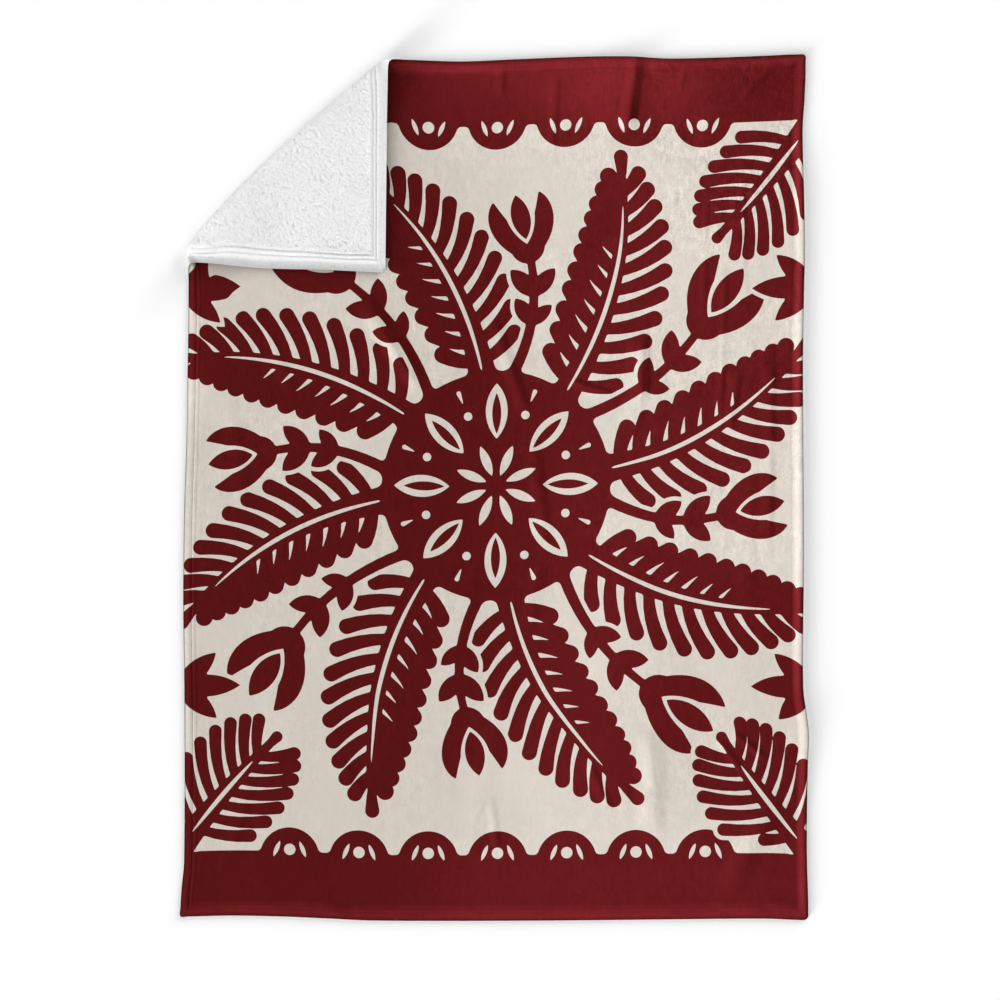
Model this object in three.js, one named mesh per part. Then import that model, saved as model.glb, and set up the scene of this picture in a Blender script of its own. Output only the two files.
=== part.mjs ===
// A two-layer throw blanket, lying face up with its top left corner turned over.
// A printed short-pile face and a plush back of the same size are sewn together
// round all four edges. Millimetres; X across, Y along the length, Z up; the
// origin is on the surface it lies on, under the middle of the blanket.
import * as THREE from 'three';

// ---- driving dimensions ------------------------------------------------------
const WIDTH = 1300;             // flat size across
const LENGTH = 1800;            // flat size along
const FACE_THICK = 1.6;         // printed short-pile cloth
const BACK_THICK = 3.6;         // plush back, pile pressed by its own weight
const LAYER_GAP = 0.3;          // between the two cloths
const CORNER_RADIUS = 10;       // turned corner of the hem
const FLAP_GAP = 1.0;           // between the turned corner and the face below it
const GRID = 60;                // spacing of the mesh on the flat parts

const HALF_W = WIDTH / 2;
const HALF_L = LENGTH / 2;
const SEAT = BACK_THICK + LAYER_GAP / 2;              // mid seam surface over the floor
const FACE_OUT = FACE_THICK + LAYER_GAP / 2;          // mid seam surface to the face

const MIDDLE = { x: -1.16, y: 0.74 };                 // of the uneven outline, put at the origin

// The corner turns over about a line from the left edge to the top edge.
const FOLD_LEFT = { x: -641.6, y: 472.3 };
const FOLD_TOP = { x: -225.1, y: 896.6 };
const TIP = { x: -229.0, y: 449.5 };                  // where the turned corner comes to lie

// The fold in section, from the flat cloth round and back over itself: arcs with a
// turn in degrees and a radius to the mid seam surface. A straight run of the right
// length to come down on the cloth below follows, and then the landing arc.
const FOLD_ARCS = [
  { turn: 30, radius: 26 },
  { turn: 120, radius: 11 },
  { turn: 46, radius: 20 },
];
const LANDING_RADIUS = 110;
// The fold bows outward from that line, most in its lower half, by distance along it.
const FOLD_BOW = [
  { at: 0, out: 0 }, { at: 24, out: 23 }, { at: 60, out: 31 }, { at: 110, out: 34 },
  { at: 170, out: 35 }, { at: 300, out: 32 }, { at: 439, out: 19.5 }, { at: 520, out: 14.5 },
  { at: 580, out: 7.5 }, { at: 594, out: 0 },
];
const BOW_FADE = 210;           // how far into the flat cloth and the flap the bow is felt
// How much fuller (+) or flatter (-) the roll of the fold is, by distance along it.
const FOLD_FULLNESS = [
  { at: 0, out: -0.1 }, { at: 120, out: 0.05 }, { at: 260, out: -0.04 },
  { at: 400, out: 0.06 }, { at: 594, out: -0.12 },
];

// How far each edge lies outside (+) or inside (-) its nominal line, by distance
// along the edge from the middle of the blanket.
const EDGE_OFFSETS = {
  left: [
    { at: -890, out: 8.4 }, { at: -844, out: 6.0 }, { at: -782, out: 0.5 },
    { at: -430, out: 0.0 }, { at: -280, out: 2.1 }, { at: -155, out: 2.1 },
    { at: -29, out: 0.0 }, { at: 96, out: -4.2 }, { at: 221, out: -6.3 },
    { at: 347, out: -8.4 }, { at: 520, out: -8.4 }, { at: 576, out: -5.8 },
    { at: 630, out: -4.2 }, { at: 694, out: -5.4 }, { at: 759, out: -7.7 },
    { at: 824, out: -8.2 }, { at: 900, out: -8.4 },
  ],
  right: [
    { at: -890, out: 5.5 }, { at: -750, out: 2.5 }, { at: -575, out: 4.2 },
    { at: -516, out: 6.3 }, { at: -476, out: 2.1 }, { at: -414, out: -5.8 },
    { at: -132, out: -4.2 }, { at: 244, out: -6.3 }, { at: 401, out: -4.2 },
    { at: 495, out: -2.1 }, { at: 621, out: -4.2 }, { at: 745, out: -6.3 },
    { at: 811, out: -2.1 }, { at: 870, out: 0.0 },
  ],
  top: [
    { at: -650, out: -3.4 }, { at: -219, out: -3.4 }, { at: -77, out: -7.6 },
    { at: 31, out: -3.4 }, { at: 188, out: 2.6 }, { at: 282, out: 2.9 },
    { at: 359, out: -1.3 }, { at: 470, out: 0.8 }, { at: 579, out: 5.0 },
    { at: 627, out: 7.1 },
  ],
  bottom: [
    { at: -650, out: -3.4 }, { at: -543, out: -5.5 }, { at: -435, out: -3.4 },
    { at: -341, out: 0.8 }, { at: -247, out: 5.0 }, { at: 98, out: 5.0 },
    { at: 400, out: 2.0 }, { at: 560, out: 1.0 }, { at: 650, out: 4.0 },
  ],
};

// Soft ridges where the cloth lies off the floor: from one end to the other, how
// high, and how far each foot is from the crest to its left and right, looking
// from the first end to the second.
const RIDGES = [
  { x0: 278, y0: 735, x1: 301, y1: 925, high: 7.0, left: 112, right: 18, ends: 60 },
  { x0: 307, y0: 165, x1: 312, y1: 335, high: 4.6, left: 46, right: 17, ends: 60 },
  { x0: 286, y0: 100, x1: 307, y1: 225, high: 2.2, left: 40, right: 22, ends: 60 },
  { x0: 328, y0: -500, x1: 334, y1: -760, high: 5.0, left: 30, right: 45, ends: 90 },
  { x0: -285, y0: 415, x1: -150, y1: 195, high: 4.5, left: 28, right: 34, ends: 60 },
  { x0: 470, y0: -860, x1: 600, y1: -640, high: 4.0, left: 40, right: 40, ends: 90 },
];
// A low swell along a bent line, wide and soft, on both sides of the middle.
const SWELLS = [
  { x: -135, y: 385, high: 2.6, across: 150, along: 300, lean: 12 },
  { x: -90, y: -420, high: 2.4, across: 140, along: 330, lean: -14 },
  { x: 235, y: -140, high: 2.8, across: 140, along: 400, lean: 4 },
  { x: 400, y: -60, high: 2.2, across: 90, along: 330, lean: 0 },
  { x: -440, y: -330, high: 2.2, across: 120, along: 300, lean: 6 },
  { x: 130, y: 560, high: 2.4, across: 120, along: 210, lean: -8 },
];
// The right hem stands a little off the floor.
const HEM_LIFT = { high: 5.0, wide: 85, from: -700, to: 760, ends: 180 };

// ---- helpers -------------------------------------------------------------------
const RAD = Math.PI / 180;
const clamp = (a, lo, hi) => Math.min(hi, Math.max(lo, a));
const smooth = (a) => { const c = clamp(a, 0, 1); return c * c * (3 - 2 * c); };
const hump = (a) => (Math.abs(a) >= 1 ? 0 : Math.cos(a * Math.PI / 2) ** 2);

// Smooth curve through a table's rows, level beyond its ends.
function through(rows, at) {
  const last = rows.length - 1;
  if (at <= rows[0].at) return rows[0].out;
  if (at >= rows[last].at) return rows[last].out;
  let i = 0;
  while (rows[i + 1].at < at) i += 1;
  const slope = (j) => (j <= 0 || j >= last ? 0
    : (rows[j + 1].out - rows[j - 1].out) / (rows[j + 1].at - rows[j - 1].at));
  const span = rows[i + 1].at - rows[i].at;
  const t = (at - rows[i].at) / span;
  const t2 = t * t;
  const t3 = t2 * t;
  return (2 * t3 - 3 * t2 + 1) * rows[i].out + (t3 - 2 * t2 + t) * span * slope(i)
    + (3 * t2 - 2 * t3) * rows[i + 1].out + (t3 - t2) * span * slope(i + 1);
}

// ---- the fold's own frame: t runs along it, s across it toward the corner ----------
const foldSpan = Math.hypot(FOLD_TOP.x - FOLD_LEFT.x, FOLD_TOP.y - FOLD_LEFT.y);
const along = {
  x: (FOLD_TOP.x - FOLD_LEFT.x) / foldSpan,
  y: (FOLD_TOP.y - FOLD_LEFT.y) / foldSpan,
};
const across = { x: -along.y, y: along.x };
const toFold = (x, y) => ({
  t: (x - FOLD_LEFT.x) * along.x + (y - FOLD_LEFT.y) * along.y,
  s: (x - FOLD_LEFT.x) * across.x + (y - FOLD_LEFT.y) * across.y,
});
const fromFold = (t, s) => ({
  x: FOLD_LEFT.x + t * along.x + s * across.x,
  y: FOLD_LEFT.y + t * along.y + s * across.y,
});

// ---- the fold in section ----------------------------------------------------------
const FLAP_LEVEL = 2 * FACE_OUT + FLAP_GAP;           // turned cloth over flat cloth
const section = [];
{
  let heading = 0;
  let reach = 0;
  let rise = 0;
  let length = 0;
  const addArc = (turn, radius) => {
    const sign = Math.sign(turn);
    section.push({ length, reach, rise, heading, radius, sign });
    const end = heading + turn * RAD;
    reach += sign * radius * (Math.sin(end) - Math.sin(heading));
    rise += sign * radius * (Math.cos(heading) - Math.cos(end));
    length += radius * Math.abs(turn) * RAD;
    heading = end;
  };
  for (const arc of FOLD_ARCS) addArc(arc.turn, arc.radius);
  const dip = heading - Math.PI;
  const drop = rise - FLAP_LEVEL - LANDING_RADIUS * (1 - Math.cos(dip));
  const straight = drop / Math.sin(dip);
  section.push({ length, reach, rise, heading, radius: Infinity, sign: 1 });
  reach += straight * Math.cos(heading);
  rise += straight * Math.sin(heading);
  length += straight;
  addArc(-dip / RAD, LANDING_RADIUS);
  section.push({ length, reach, rise, heading: Math.PI, radius: Infinity, sign: 1 });
}
const landed = section[section.length - 1];
const LIFT_OFF = -(landed.reach + landed.length) / 2; // where the flat cloth ends

function sectionAt(length) {
  let i = section.length - 1;
  while (i > 0 && section[i].length > length) i -= 1;
  const p = section[i];
  const run = length - p.length;
  if (p.radius === Infinity) {
    return { reach: p.reach + run * Math.cos(p.heading), rise: p.rise + run * Math.sin(p.heading) };
  }
  const end = p.heading + p.sign * run / p.radius;
  return {
    reach: p.reach + p.sign * p.radius * (Math.sin(end) - Math.sin(p.heading)),
    rise: p.rise + p.sign * p.radius * (Math.cos(p.heading) - Math.cos(end)),
  };
}

// Highest point of the roll, where the cloth turns back level.
const turnBefore = FOLD_ARCS[0].turn + FOLD_ARCS[1].turn;
const CREST = section[2].length + FOLD_ARCS[2].radius * (180 - turnBefore) * RAD;
const TOP = sectionAt(CREST).rise;

// ---- unevenness -------------------------------------------------------------------
function relief(x, y) {
  let z = 0;
  for (const r of RIDGES) {
    const len = Math.hypot(r.x1 - r.x0, r.y1 - r.y0);
    const dx = (r.x1 - r.x0) / len;
    const dy = (r.y1 - r.y0) / len;
    const run = (x - r.x0) * dx + (y - r.y0) * dy;
    const off = (x - r.x0) * dy - (y - r.y0) * dx;    // + to the right of its direction
    const body = smooth(run / r.ends) * smooth((len - run) / r.ends);
    z += r.high * body * hump(off / (off < 0 ? r.left : r.right));
  }
  for (const w of SWELLS) {
    const c = Math.cos(w.lean * RAD);
    const s = Math.sin(w.lean * RAD);
    const a = ((x - w.x) * c + (y - w.y) * s) / w.across;
    const b = ((y - w.y) * c - (x - w.x) * s) / w.along;
    z += w.high * hump(Math.min(1, Math.hypot(a, b)));
  }
  const lift = smooth((y - HEM_LIFT.from) / HEM_LIFT.ends) * smooth((HEM_LIFT.to - y) / HEM_LIFT.ends);
  z += HEM_LIFT.high * lift * smooth((x - HALF_W + HEM_LIFT.wide) / HEM_LIFT.wide);
  return z;
}

// Rounds the corners of the flat cloth.
function rounded(u, v) {
  const a = (Math.abs(u) - HALF_W + CORNER_RADIUS) / CORNER_RADIUS;
  const b = (Math.abs(v) - HALF_L + CORNER_RADIUS) / CORNER_RADIUS;
  if (a <= 0 || b <= 0) return { u, v };
  const k = Math.max(a, b) / Math.hypot(a, b);
  return {
    u: Math.sign(u) * (HALF_W - CORNER_RADIUS + a * k * CORNER_RADIUS),
    v: Math.sign(v) * (HALF_L - CORNER_RADIUS + b * k * CORNER_RADIUS),
  };
}

// Flat cloth to where it lies, before folding.
function spread(u, v) {
  const fx = (u + HALF_W) / WIDTH;
  const fy = (v + HALF_L) / LENGTH;
  return {
    x: u - through(EDGE_OFFSETS.left, v) * (1 - fx) + through(EDGE_OFFSETS.right, v) * fx,
    y: v - through(EDGE_OFFSETS.bottom, u) * (1 - fy) + through(EDGE_OFFSETS.top, u) * fy,
  };
}
const cornerAt = spread(-HALF_W, HALF_L);
const corner = toFold(cornerAt.x, cornerAt.y);
const tip = toFold(TIP.x, TIP.y);
const LENGTHENED = (-tip.s - corner.s) / corner.s;    // the flap, across the fold
const SHEARED = (tip.t - corner.t) / corner.s;        // the flap, along the fold

// Depth of the flap from the fold line to its hem, at a place along the fold.
const leftEdge = toFold(spread(-HALF_W, 700).x, spread(-HALF_W, 700).y);
const topEdge = toFold(spread(-450, HALF_L).x, spread(-450, HALF_L).y);
const flapDepth = (t) => Math.max(1, Math.min(
  t * leftEdge.s / leftEdge.t,
  (foldSpan - t) * topEdge.s / (foldSpan - topEdge.t),
));

// Mid seam surface at a point of the flat cloth.
function lay(u, v) {
  const flat = spread(u, v);
  const { t, s } = toFold(flat.x, flat.y);
  const over = Math.max(0, s);
  let out = s;
  let rise = 0;
  if (s > LIFT_OFF) {
    const p = sectionAt(s - LIFT_OFF);
    out = LIFT_OFF + p.reach - LENGTHENED * over;
    const full = through(FOLD_FULLNESS, t);
    rise = s - LIFT_OFF < CREST
      ? p.rise * (1 + full * (TOP - FLAP_LEVEL) / TOP)
      : FLAP_LEVEL + (p.rise - FLAP_LEVEL) * (1 + full);
  }
  const felt = s < 0
    ? smooth((s + BOW_FADE) / BOW_FADE)
    : 1 - smooth(s / Math.min(flapDepth(t), BOW_FADE));
  const p = fromFold(t + SHEARED * over, out + through(FOLD_BOW, t) * felt);
  return new THREE.Vector3(p.x - MIDDLE.x, p.y - MIDDLE.y, SEAT + rise + relief(p.x, p.y));
}

function layWithNormal(u, v) {
  const r = rounded(u, v);
  const e = 0.5;
  const du = lay(r.u + e, r.v).sub(lay(r.u - e, r.v));
  const dv = lay(r.u, r.v + e).sub(lay(r.u, r.v - e));
  return { at: lay(r.u, r.v), up: du.cross(dv).normalize() };
}

// ---- mesh of the flat cloth -----------------------------------------------------------
const nodes = [];
const faces = [];
const addNode = (u, v) => { nodes.push({ u, v }); return nodes.length - 1; };

// Fills the strip between two rows of nodes, each running the same way.
function zip(low, high) {
  let i = 0;
  let j = 0;
  const gap = (a, b) => Math.hypot(nodes[a].u - nodes[b].u, nodes[a].v - nodes[b].v);
  while (i < low.length - 1 || j < high.length - 1) {
    const canLow = i < low.length - 1;
    const canHigh = j < high.length - 1;
    const takeLow = canLow && (!canHigh || gap(low[i + 1], high[j]) <= gap(low[i], high[j + 1]));
    if (takeLow) { faces.push([low[i], low[i + 1], high[j]]); i += 1; }
    else { faces.push([low[i], high[j + 1], high[j]]); j += 1; }
  }
}

// Diagonal line where the folded corner's own strips begin.
const START = LIFT_OFF - 14;
// Point of the line s = value on a horizontal or vertical line of the flat cloth.
function onLine(value, fixed) {
  let lo = fixed.v !== undefined ? -HALF_W - 200 : -HALF_L;
  let hi = fixed.v !== undefined ? HALF_W : HALF_L + 200;
  const at = (m) => {
    const p = fixed.v !== undefined ? spread(m, fixed.v) : spread(fixed.u, m);
    return toFold(p.x, p.y).s - value;
  };
  for (let k = 0; k < 60; k += 1) {
    const mid = (lo + hi) / 2;
    if ((at(lo) < 0) === (at(mid) < 0)) lo = mid; else hi = mid;
  }
  return (lo + hi) / 2;
}

const startLeft = onLine(START, { u: -HALF_W });      // v on the left edge
const startTop = onLine(START, { v: HALF_L });        // u on the top edge

// Rows across the blanket, closer at the rounded corners.
const rowsAt = [-HALF_L, -HALF_L + 3, -HALF_L + CORNER_RADIUS];
const inner = LENGTH - 2 * CORNER_RADIUS;
const rowCount = Math.round(inner / GRID);
for (let k = 1; k < rowCount; k += 1) {
  const v = -HALF_L + CORNER_RADIUS + inner * k / rowCount;
  if (Math.abs(v - startLeft) > GRID * 0.3) rowsAt.push(v);
}
rowsAt.push(startLeft, HALF_L - CORNER_RADIUS, HALF_L - 3, HALF_L);
rowsAt.sort((a, b) => a - b);

// Places across one row: an even spacing, the rounded corners, and each ridge's
// crest and slopes.
function placesAcross(v, from) {
  const places = new Map();
  const put = (u, rank) => { if (u >= from && u <= HALF_W) places.set(u, rank); };
  put(from, 3);
  put(HALF_W, 3);
  if (Math.abs(v) > HALF_L - CORNER_RADIUS - 1) {
    put(HALF_W - 3, 2);
    put(HALF_W - CORNER_RADIUS, 2);
    if (from === -HALF_W) { put(from + 3, 2); put(from + CORNER_RADIUS, 2); }
  }
  for (const r of RIDGES) {
    const top = Math.max(r.y0, r.y1);
    const low = Math.min(r.y0, r.y1);
    if (v < low || v > top || Math.abs(r.y1 - r.y0) < 1) continue;
    const len = Math.hypot(r.x1 - r.x0, r.y1 - r.y0);
    const crest = r.x0 + (r.x1 - r.x0) * (v - r.y0) / (r.y1 - r.y0);
    const steep = len / Math.abs(r.y1 - r.y0);
    const east = (r.y1 > r.y0 ? r.right : r.left) * steep;
    const west = (r.y1 > r.y0 ? r.left : r.right) * steep;
    for (const u of [crest - west, crest - west / 2, crest, crest + east / 2, crest + east]) put(u, 2);
  }
  for (const u of [HALF_W - HEM_LIFT.wide / 2, HALF_W - HEM_LIFT.wide]) put(u, 1);
  const count = Math.max(1, Math.round((HALF_W - from) / GRID));
  for (let k = 1; k < count; k += 1) put(from + (HALF_W - from) * k / count, 0);
  const sorted = [...places.entries()].sort((a, b) => a[0] - b[0]);
  const kept = [];
  for (const [u, rank] of sorted) {
    const prev = kept[kept.length - 1];
    const room = rank === 0 || (prev && prev.rank === 0) ? GRID * 0.45 : 2.5;
    if (prev && u - prev.u < room) {
      if (rank > prev.rank) kept[kept.length - 1] = { u, rank };
    } else kept.push({ u, rank });
  }
  return kept.map((k) => k.u);
}

let below = null;
const diagonal = [];
for (const v of rowsAt) {
  const cut = v >= startLeft - 1e-6;
  const from = cut ? (v >= HALF_L ? startTop : (v <= startLeft + 1e-6 ? -HALF_W : onLine(START, { v }))) : -HALF_W;
  const row = placesAcross(v, from).map((u) => addNode(u, v));
  if (cut) diagonal.push(row[0]);
  if (below) zip(below, row);
  below = row;
}

// Strips parallel to the fold, round it and over the turned corner.
const stripsAt = [];
const turned = section.slice(1, 4).map((p) => p.length);
const lengthsDone = [];
for (let k = 0; k < FOLD_ARCS.length; k += 1) {
  const steps = Math.max(1, Math.round(FOLD_ARCS[k].turn / 15));
  const begin = section[k].length;
  const end = turned[k];
  for (let m = 0; m < steps; m += 1) lengthsDone.push(begin + (end - begin) * m / steps);
}
const straightEnd = section[section.length - 2].length;
for (let l = turned[2]; l < landed.length; l += l < straightEnd ? 16 : 9) lengthsDone.push(l);
lengthsDone.push(landed.length);
for (const l of lengthsDone) stripsAt.push(LIFT_OFF + l);
const flapStart = stripsAt[stripsAt.length - 1];
const flapStrips = Math.round((corner.s - 10 - flapStart) / 38);
for (let k = 1; k <= flapStrips; k += 1) stripsAt.push(flapStart + (corner.s - 7 - flapStart) * k / flapStrips);
stripsAt.push(corner.s - 2.2);

let inside = diagonal;
for (const s of stripsAt) {
  const a = { u: -HALF_W, v: onLine(s, { u: -HALF_W }) };
  const b = { u: onLine(s, { v: HALF_L }), v: HALF_L };
  const len = Math.hypot(b.u - a.u, b.v - a.v);
  const count = Math.max(1, Math.round(len / (GRID * 0.9)));
  const shares = [];
  for (let k = 0; k <= count; k += 1) shares.push(k / count);
  if (count > 3) shares.splice(1, 0, 13 / len, 28 / len);   // the bow starts sharply here
  const strip = shares.map((w) => addNode(a.u + (b.u - a.u) * w, a.v + (b.v - a.v) * w));
  zip(inside, strip);
  inside = strip;
}
zip(inside, [addNode(-HALF_W, HALF_L)]);

const laid = nodes.map((n) => layWithNormal(n.u, n.v));

// ---- one closed cloth between two offsets of the mid seam surface -----------------------
function cloth(low, high) {
  const count = nodes.length;
  const position = new Float32Array(count * 6);
  laid.forEach((p, i) => {
    p.at.clone().addScaledVector(p.up, high).toArray(position, i * 3);
    p.at.clone().addScaledVector(p.up, low).toArray(position, (count + i) * 3);
  });
  const index = [];
  const edges = new Set();
  for (const [a, b, c] of faces) {
    index.push(a, b, c, count + a, count + c, count + b);
    edges.add(`${a}_${b}`).add(`${b}_${c}`).add(`${c}_${a}`);
  }
  for (const edge of edges) {
    const [a, b] = edge.split('_').map(Number);
    if (!edges.has(`${b}_${a}`)) index.push(count + a, count + b, b, count + a, b, a);
  }
  const geometry = new THREE.BufferGeometry();
  geometry.setAttribute('position', new THREE.BufferAttribute(position, 3));
  geometry.setIndex(index);
  geometry.computeVertexNormals();
  return geometry;
}

const frontPanel = new THREE.Mesh(
  cloth(LAYER_GAP / 2, FACE_OUT),
  new THREE.MeshStandardMaterial({ color: 0x5f1718, roughness: 0.9, metalness: 0 }),
);
frontPanel.name = 'front_panel';

const backPanel = new THREE.Mesh(
  cloth(-SEAT, -LAYER_GAP / 2),
  new THREE.MeshStandardMaterial({ color: 0xeeeeec, roughness: 0.95, metalness: 0 }),
);
backPanel.name = 'back_panel';

const blanket = new THREE.Group();
blanket.name = 'throw_blanket';
blanket.add(frontPanel, backPanel);

export default blanket;
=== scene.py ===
import math
import time

import bpy
import numpy as np
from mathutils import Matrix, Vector
from mathutils.geometry import delaunay_2d_cdt


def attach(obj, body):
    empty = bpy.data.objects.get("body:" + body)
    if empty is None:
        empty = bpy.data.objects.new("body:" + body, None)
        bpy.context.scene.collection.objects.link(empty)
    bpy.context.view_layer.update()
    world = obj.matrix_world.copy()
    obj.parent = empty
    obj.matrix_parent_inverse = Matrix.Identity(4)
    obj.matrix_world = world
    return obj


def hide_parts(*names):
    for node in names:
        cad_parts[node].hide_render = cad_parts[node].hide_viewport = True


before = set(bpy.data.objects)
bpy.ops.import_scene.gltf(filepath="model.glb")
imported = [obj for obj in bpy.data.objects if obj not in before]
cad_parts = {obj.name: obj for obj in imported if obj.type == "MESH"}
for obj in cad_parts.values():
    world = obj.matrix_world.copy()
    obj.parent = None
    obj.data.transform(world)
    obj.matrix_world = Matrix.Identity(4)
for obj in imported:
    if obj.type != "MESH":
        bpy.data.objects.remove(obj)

BEGAN = time.perf_counter()
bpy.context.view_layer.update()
MM = 0.001

# ======================================================================================
# The cloth map: flat cloth (u across, v along) to where it lies
# ======================================================================================
WIDTH, LENGTH = 1300.0, 1800.0
FACE_THICK, BACK_THICK, LAYER_GAP = 1.6, 3.6, 0.3
CORNER_RADIUS = 10.0
FLAP_GAP = 1.0
HALF_W, HALF_L = WIDTH / 2, LENGTH / 2
SEAT = BACK_THICK + LAYER_GAP / 2
FACE_OUT = FACE_THICK + LAYER_GAP / 2
BACK_OUT = BACK_THICK + LAYER_GAP / 2
MIDDLE = (-1.16, 0.74)
FOLD_LEFT = (-641.6, 472.3)
FOLD_TOP = (-225.1, 896.6)
TIP = (-229.0, 449.5)
FOLD_ARCS = ((30, 26), (120, 11), (46, 20))  # turn in degrees, radius
LANDING_RADIUS = 110.0
# fmt: off
FOLD_BOW = ((0, 0), (24, 23), (60, 31), (110, 34), (170, 35), (300, 32), (439, 19.5),
            (520, 14.5), (580, 7.5), (594, 0))
BOW_FADE = 210.0
FOLD_FULLNESS = ((0, -0.1), (120, 0.05), (260, -0.04), (400, 0.06), (594, -0.12))
EDGE_OFFSETS = {
    "left": ((-890, 8.4), (-844, 6.0), (-782, 0.5), (-430, 0.0), (-280, 2.1), (-155, 2.1),
             (-29, 0.0), (96, -4.2), (221, -6.3), (347, -8.4), (520, -8.4), (576, -5.8), (630, -4.2),
             (694, -5.4), (759, -7.7), (824, -8.2), (900, -8.4)),
    "right": ((-890, 5.5), (-750, 2.5), (-575, 4.2), (-516, 6.3), (-476, 2.1), (-414, -5.8),
              (-132, -4.2), (244, -6.3), (401, -4.2), (495, -2.1), (621, -4.2), (745, -6.3),
              (811, -2.1), (870, 0.0)),
    "top": ((-650, -3.4), (-219, -3.4), (-77, -7.6), (31, -3.4), (188, 2.6), (282, 2.9),
            (359, -1.3), (470, 0.8), (579, 5.0), (627, 7.1)),
    "bottom": ((-650, -3.4), (-543, -5.5), (-435, -3.4), (-341, 0.8), (-247, 5.0), (98, 5.0),
               (400, 2.0), (560, 1.0), (650, 4.0)),
}
# x0, y0, x1, y1, high, left foot, right foot, ends
RIDGES = (
    (278, 735, 301, 925, 7.0, 112, 18, 60),
    (307, 165, 312, 335, 4.6, 46, 17, 60),
    (286, 100, 307, 225, 2.2, 40, 22, 60),
    (328, -500, 334, -760, 5.0, 30, 45, 90),
    (-285, 415, -150, 195, 4.5, 28, 34, 60),
    (470, -860, 600, -640, 4.0, 40, 40, 90),
)
# x, y, high, across, along, lean
SWELLS = (
    (-135, 385, 2.6, 150, 300, 12),
    (-90, -420, 2.4, 140, 330, -14),
    (235, -140, 2.8, 140, 400, 4),
    (400, -60, 2.2, 90, 330, 0),
    (-440, -330, 2.2, 120, 300, 6),
    (130, 560, 2.4, 120, 210, -8),
)
# fmt: on
DRAWN_AT = ((450, 0), (484, 12.5), (503, 12.5), (533, 10.5), (576, 4.0), (630, 1.6), (694, 2.0), (824, 2.0), (880, 0))
DRAWN_BY = ((0, 0), (20, 0.8), (28, 1), (44, 1), (150, 0))
# how far in the hem is spread on the turned corner, by the distance from the rim
SPREAD_IN = ((0, 0), (8, 1.2), (19.7, 4.2), (26.9, 6.3), (44, 6.3), (170, 0))
POINTED = ((-1, -1, 3.2), (1, 1, 1.8))  # side across, side along, how far the corner is drawn out
HEM_LIFT = dict(high=5.0, wide=85, start=-700, stop=760, ends=180)
RAD = math.pi / 180


def smooth(a):
    c = np.clip(a, 0, 1)
    return c * c * (3 - 2 * c)


def hump(a):
    return np.cos(np.clip(a, -1, 1) * (math.pi / 2)) ** 2


def through(rows, at):
    """Smooth curve through a table's rows, level beyond its ends."""
    x, y = np.array(rows, float).T
    slope = np.zeros_like(x)
    slope[1:-1] = (y[2:] - y[:-2]) / (x[2:] - x[:-2])
    at = np.clip(at, x[0], x[-1])
    i = np.clip(np.searchsorted(x, at, side="right") - 1, 0, len(x) - 2)
    span = x[i + 1] - x[i]
    t = (at - x[i]) / span
    t2, t3 = t * t, t * t * t
    return (
        (2 * t3 - 3 * t2 + 1) * y[i]
        + (t3 - 2 * t2 + t) * span * slope[i]
        + (3 * t2 - 2 * t3) * y[i + 1]
        + (t3 - t2) * span * slope[i + 1]
    )


FOLD_SPAN = math.hypot(FOLD_TOP[0] - FOLD_LEFT[0], FOLD_TOP[1] - FOLD_LEFT[1])
ALONG = ((FOLD_TOP[0] - FOLD_LEFT[0]) / FOLD_SPAN, (FOLD_TOP[1] - FOLD_LEFT[1]) / FOLD_SPAN)
ACROSS = (-ALONG[1], ALONG[0])


def to_fold(x, y):
    dx, dy = x - FOLD_LEFT[0], y - FOLD_LEFT[1]
    return dx * ALONG[0] + dy * ALONG[1], dx * ACROSS[0] + dy * ACROSS[1]


def from_fold(t, s):
    return (
        FOLD_LEFT[0] + t * ALONG[0] + s * ACROSS[0],
        FOLD_LEFT[1] + t * ALONG[1] + s * ACROSS[1],
    )


FLAP_LEVEL = 2 * FACE_OUT + FLAP_GAP
SECTION = []  # length, reach, rise, heading, radius, sign


def build_section():
    at = dict(heading=0.0, reach=0.0, rise=0.0, length=0.0)

    def add_arc(turn, radius):
        sign = math.copysign(1, turn)
        SECTION.append((at["length"], at["reach"], at["rise"], at["heading"], radius, sign))
        end = at["heading"] + turn * RAD
        at["reach"] += sign * radius * (math.sin(end) - math.sin(at["heading"]))
        at["rise"] += sign * radius * (math.cos(at["heading"]) - math.cos(end))
        at["length"] += radius * abs(turn) * RAD
        at["heading"] = end

    for turn, radius in FOLD_ARCS:
        add_arc(turn, radius)
    dip = at["heading"] - math.pi
    drop = at["rise"] - FLAP_LEVEL - LANDING_RADIUS * (1 - math.cos(dip))
    straight = drop / math.sin(dip)
    SECTION.append((at["length"], at["reach"], at["rise"], at["heading"], math.inf, 1.0))
    at["reach"] += straight * math.cos(at["heading"])
    at["rise"] += straight * math.sin(at["heading"])
    at["length"] += straight
    add_arc(-dip / RAD, LANDING_RADIUS)
    SECTION.append((at["length"], at["reach"], at["rise"], math.pi, math.inf, 1.0))


build_section()
LIFT_OFF = -(SECTION[-1][1] + SECTION[-1][0]) / 2


def section_at(length):
    reach, rise = np.zeros_like(length), np.zeros_like(length)
    for k, (start, r0, z0, heading, radius, sign) in enumerate(SECTION):
        stop = SECTION[k + 1][0] if k + 1 < len(SECTION) else math.inf
        here = (length >= start) & (length < stop) if k else length < stop
        run = length[here] - start
        if math.isinf(radius):
            reach[here] = r0 + run * math.cos(heading)
            rise[here] = z0 + run * math.sin(heading)
        else:
            end = heading + sign * run / radius
            reach[here] = r0 + sign * radius * (np.sin(end) - math.sin(heading))
            rise[here] = z0 + sign * radius * (math.cos(heading) - np.cos(end))
    return reach, rise


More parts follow.
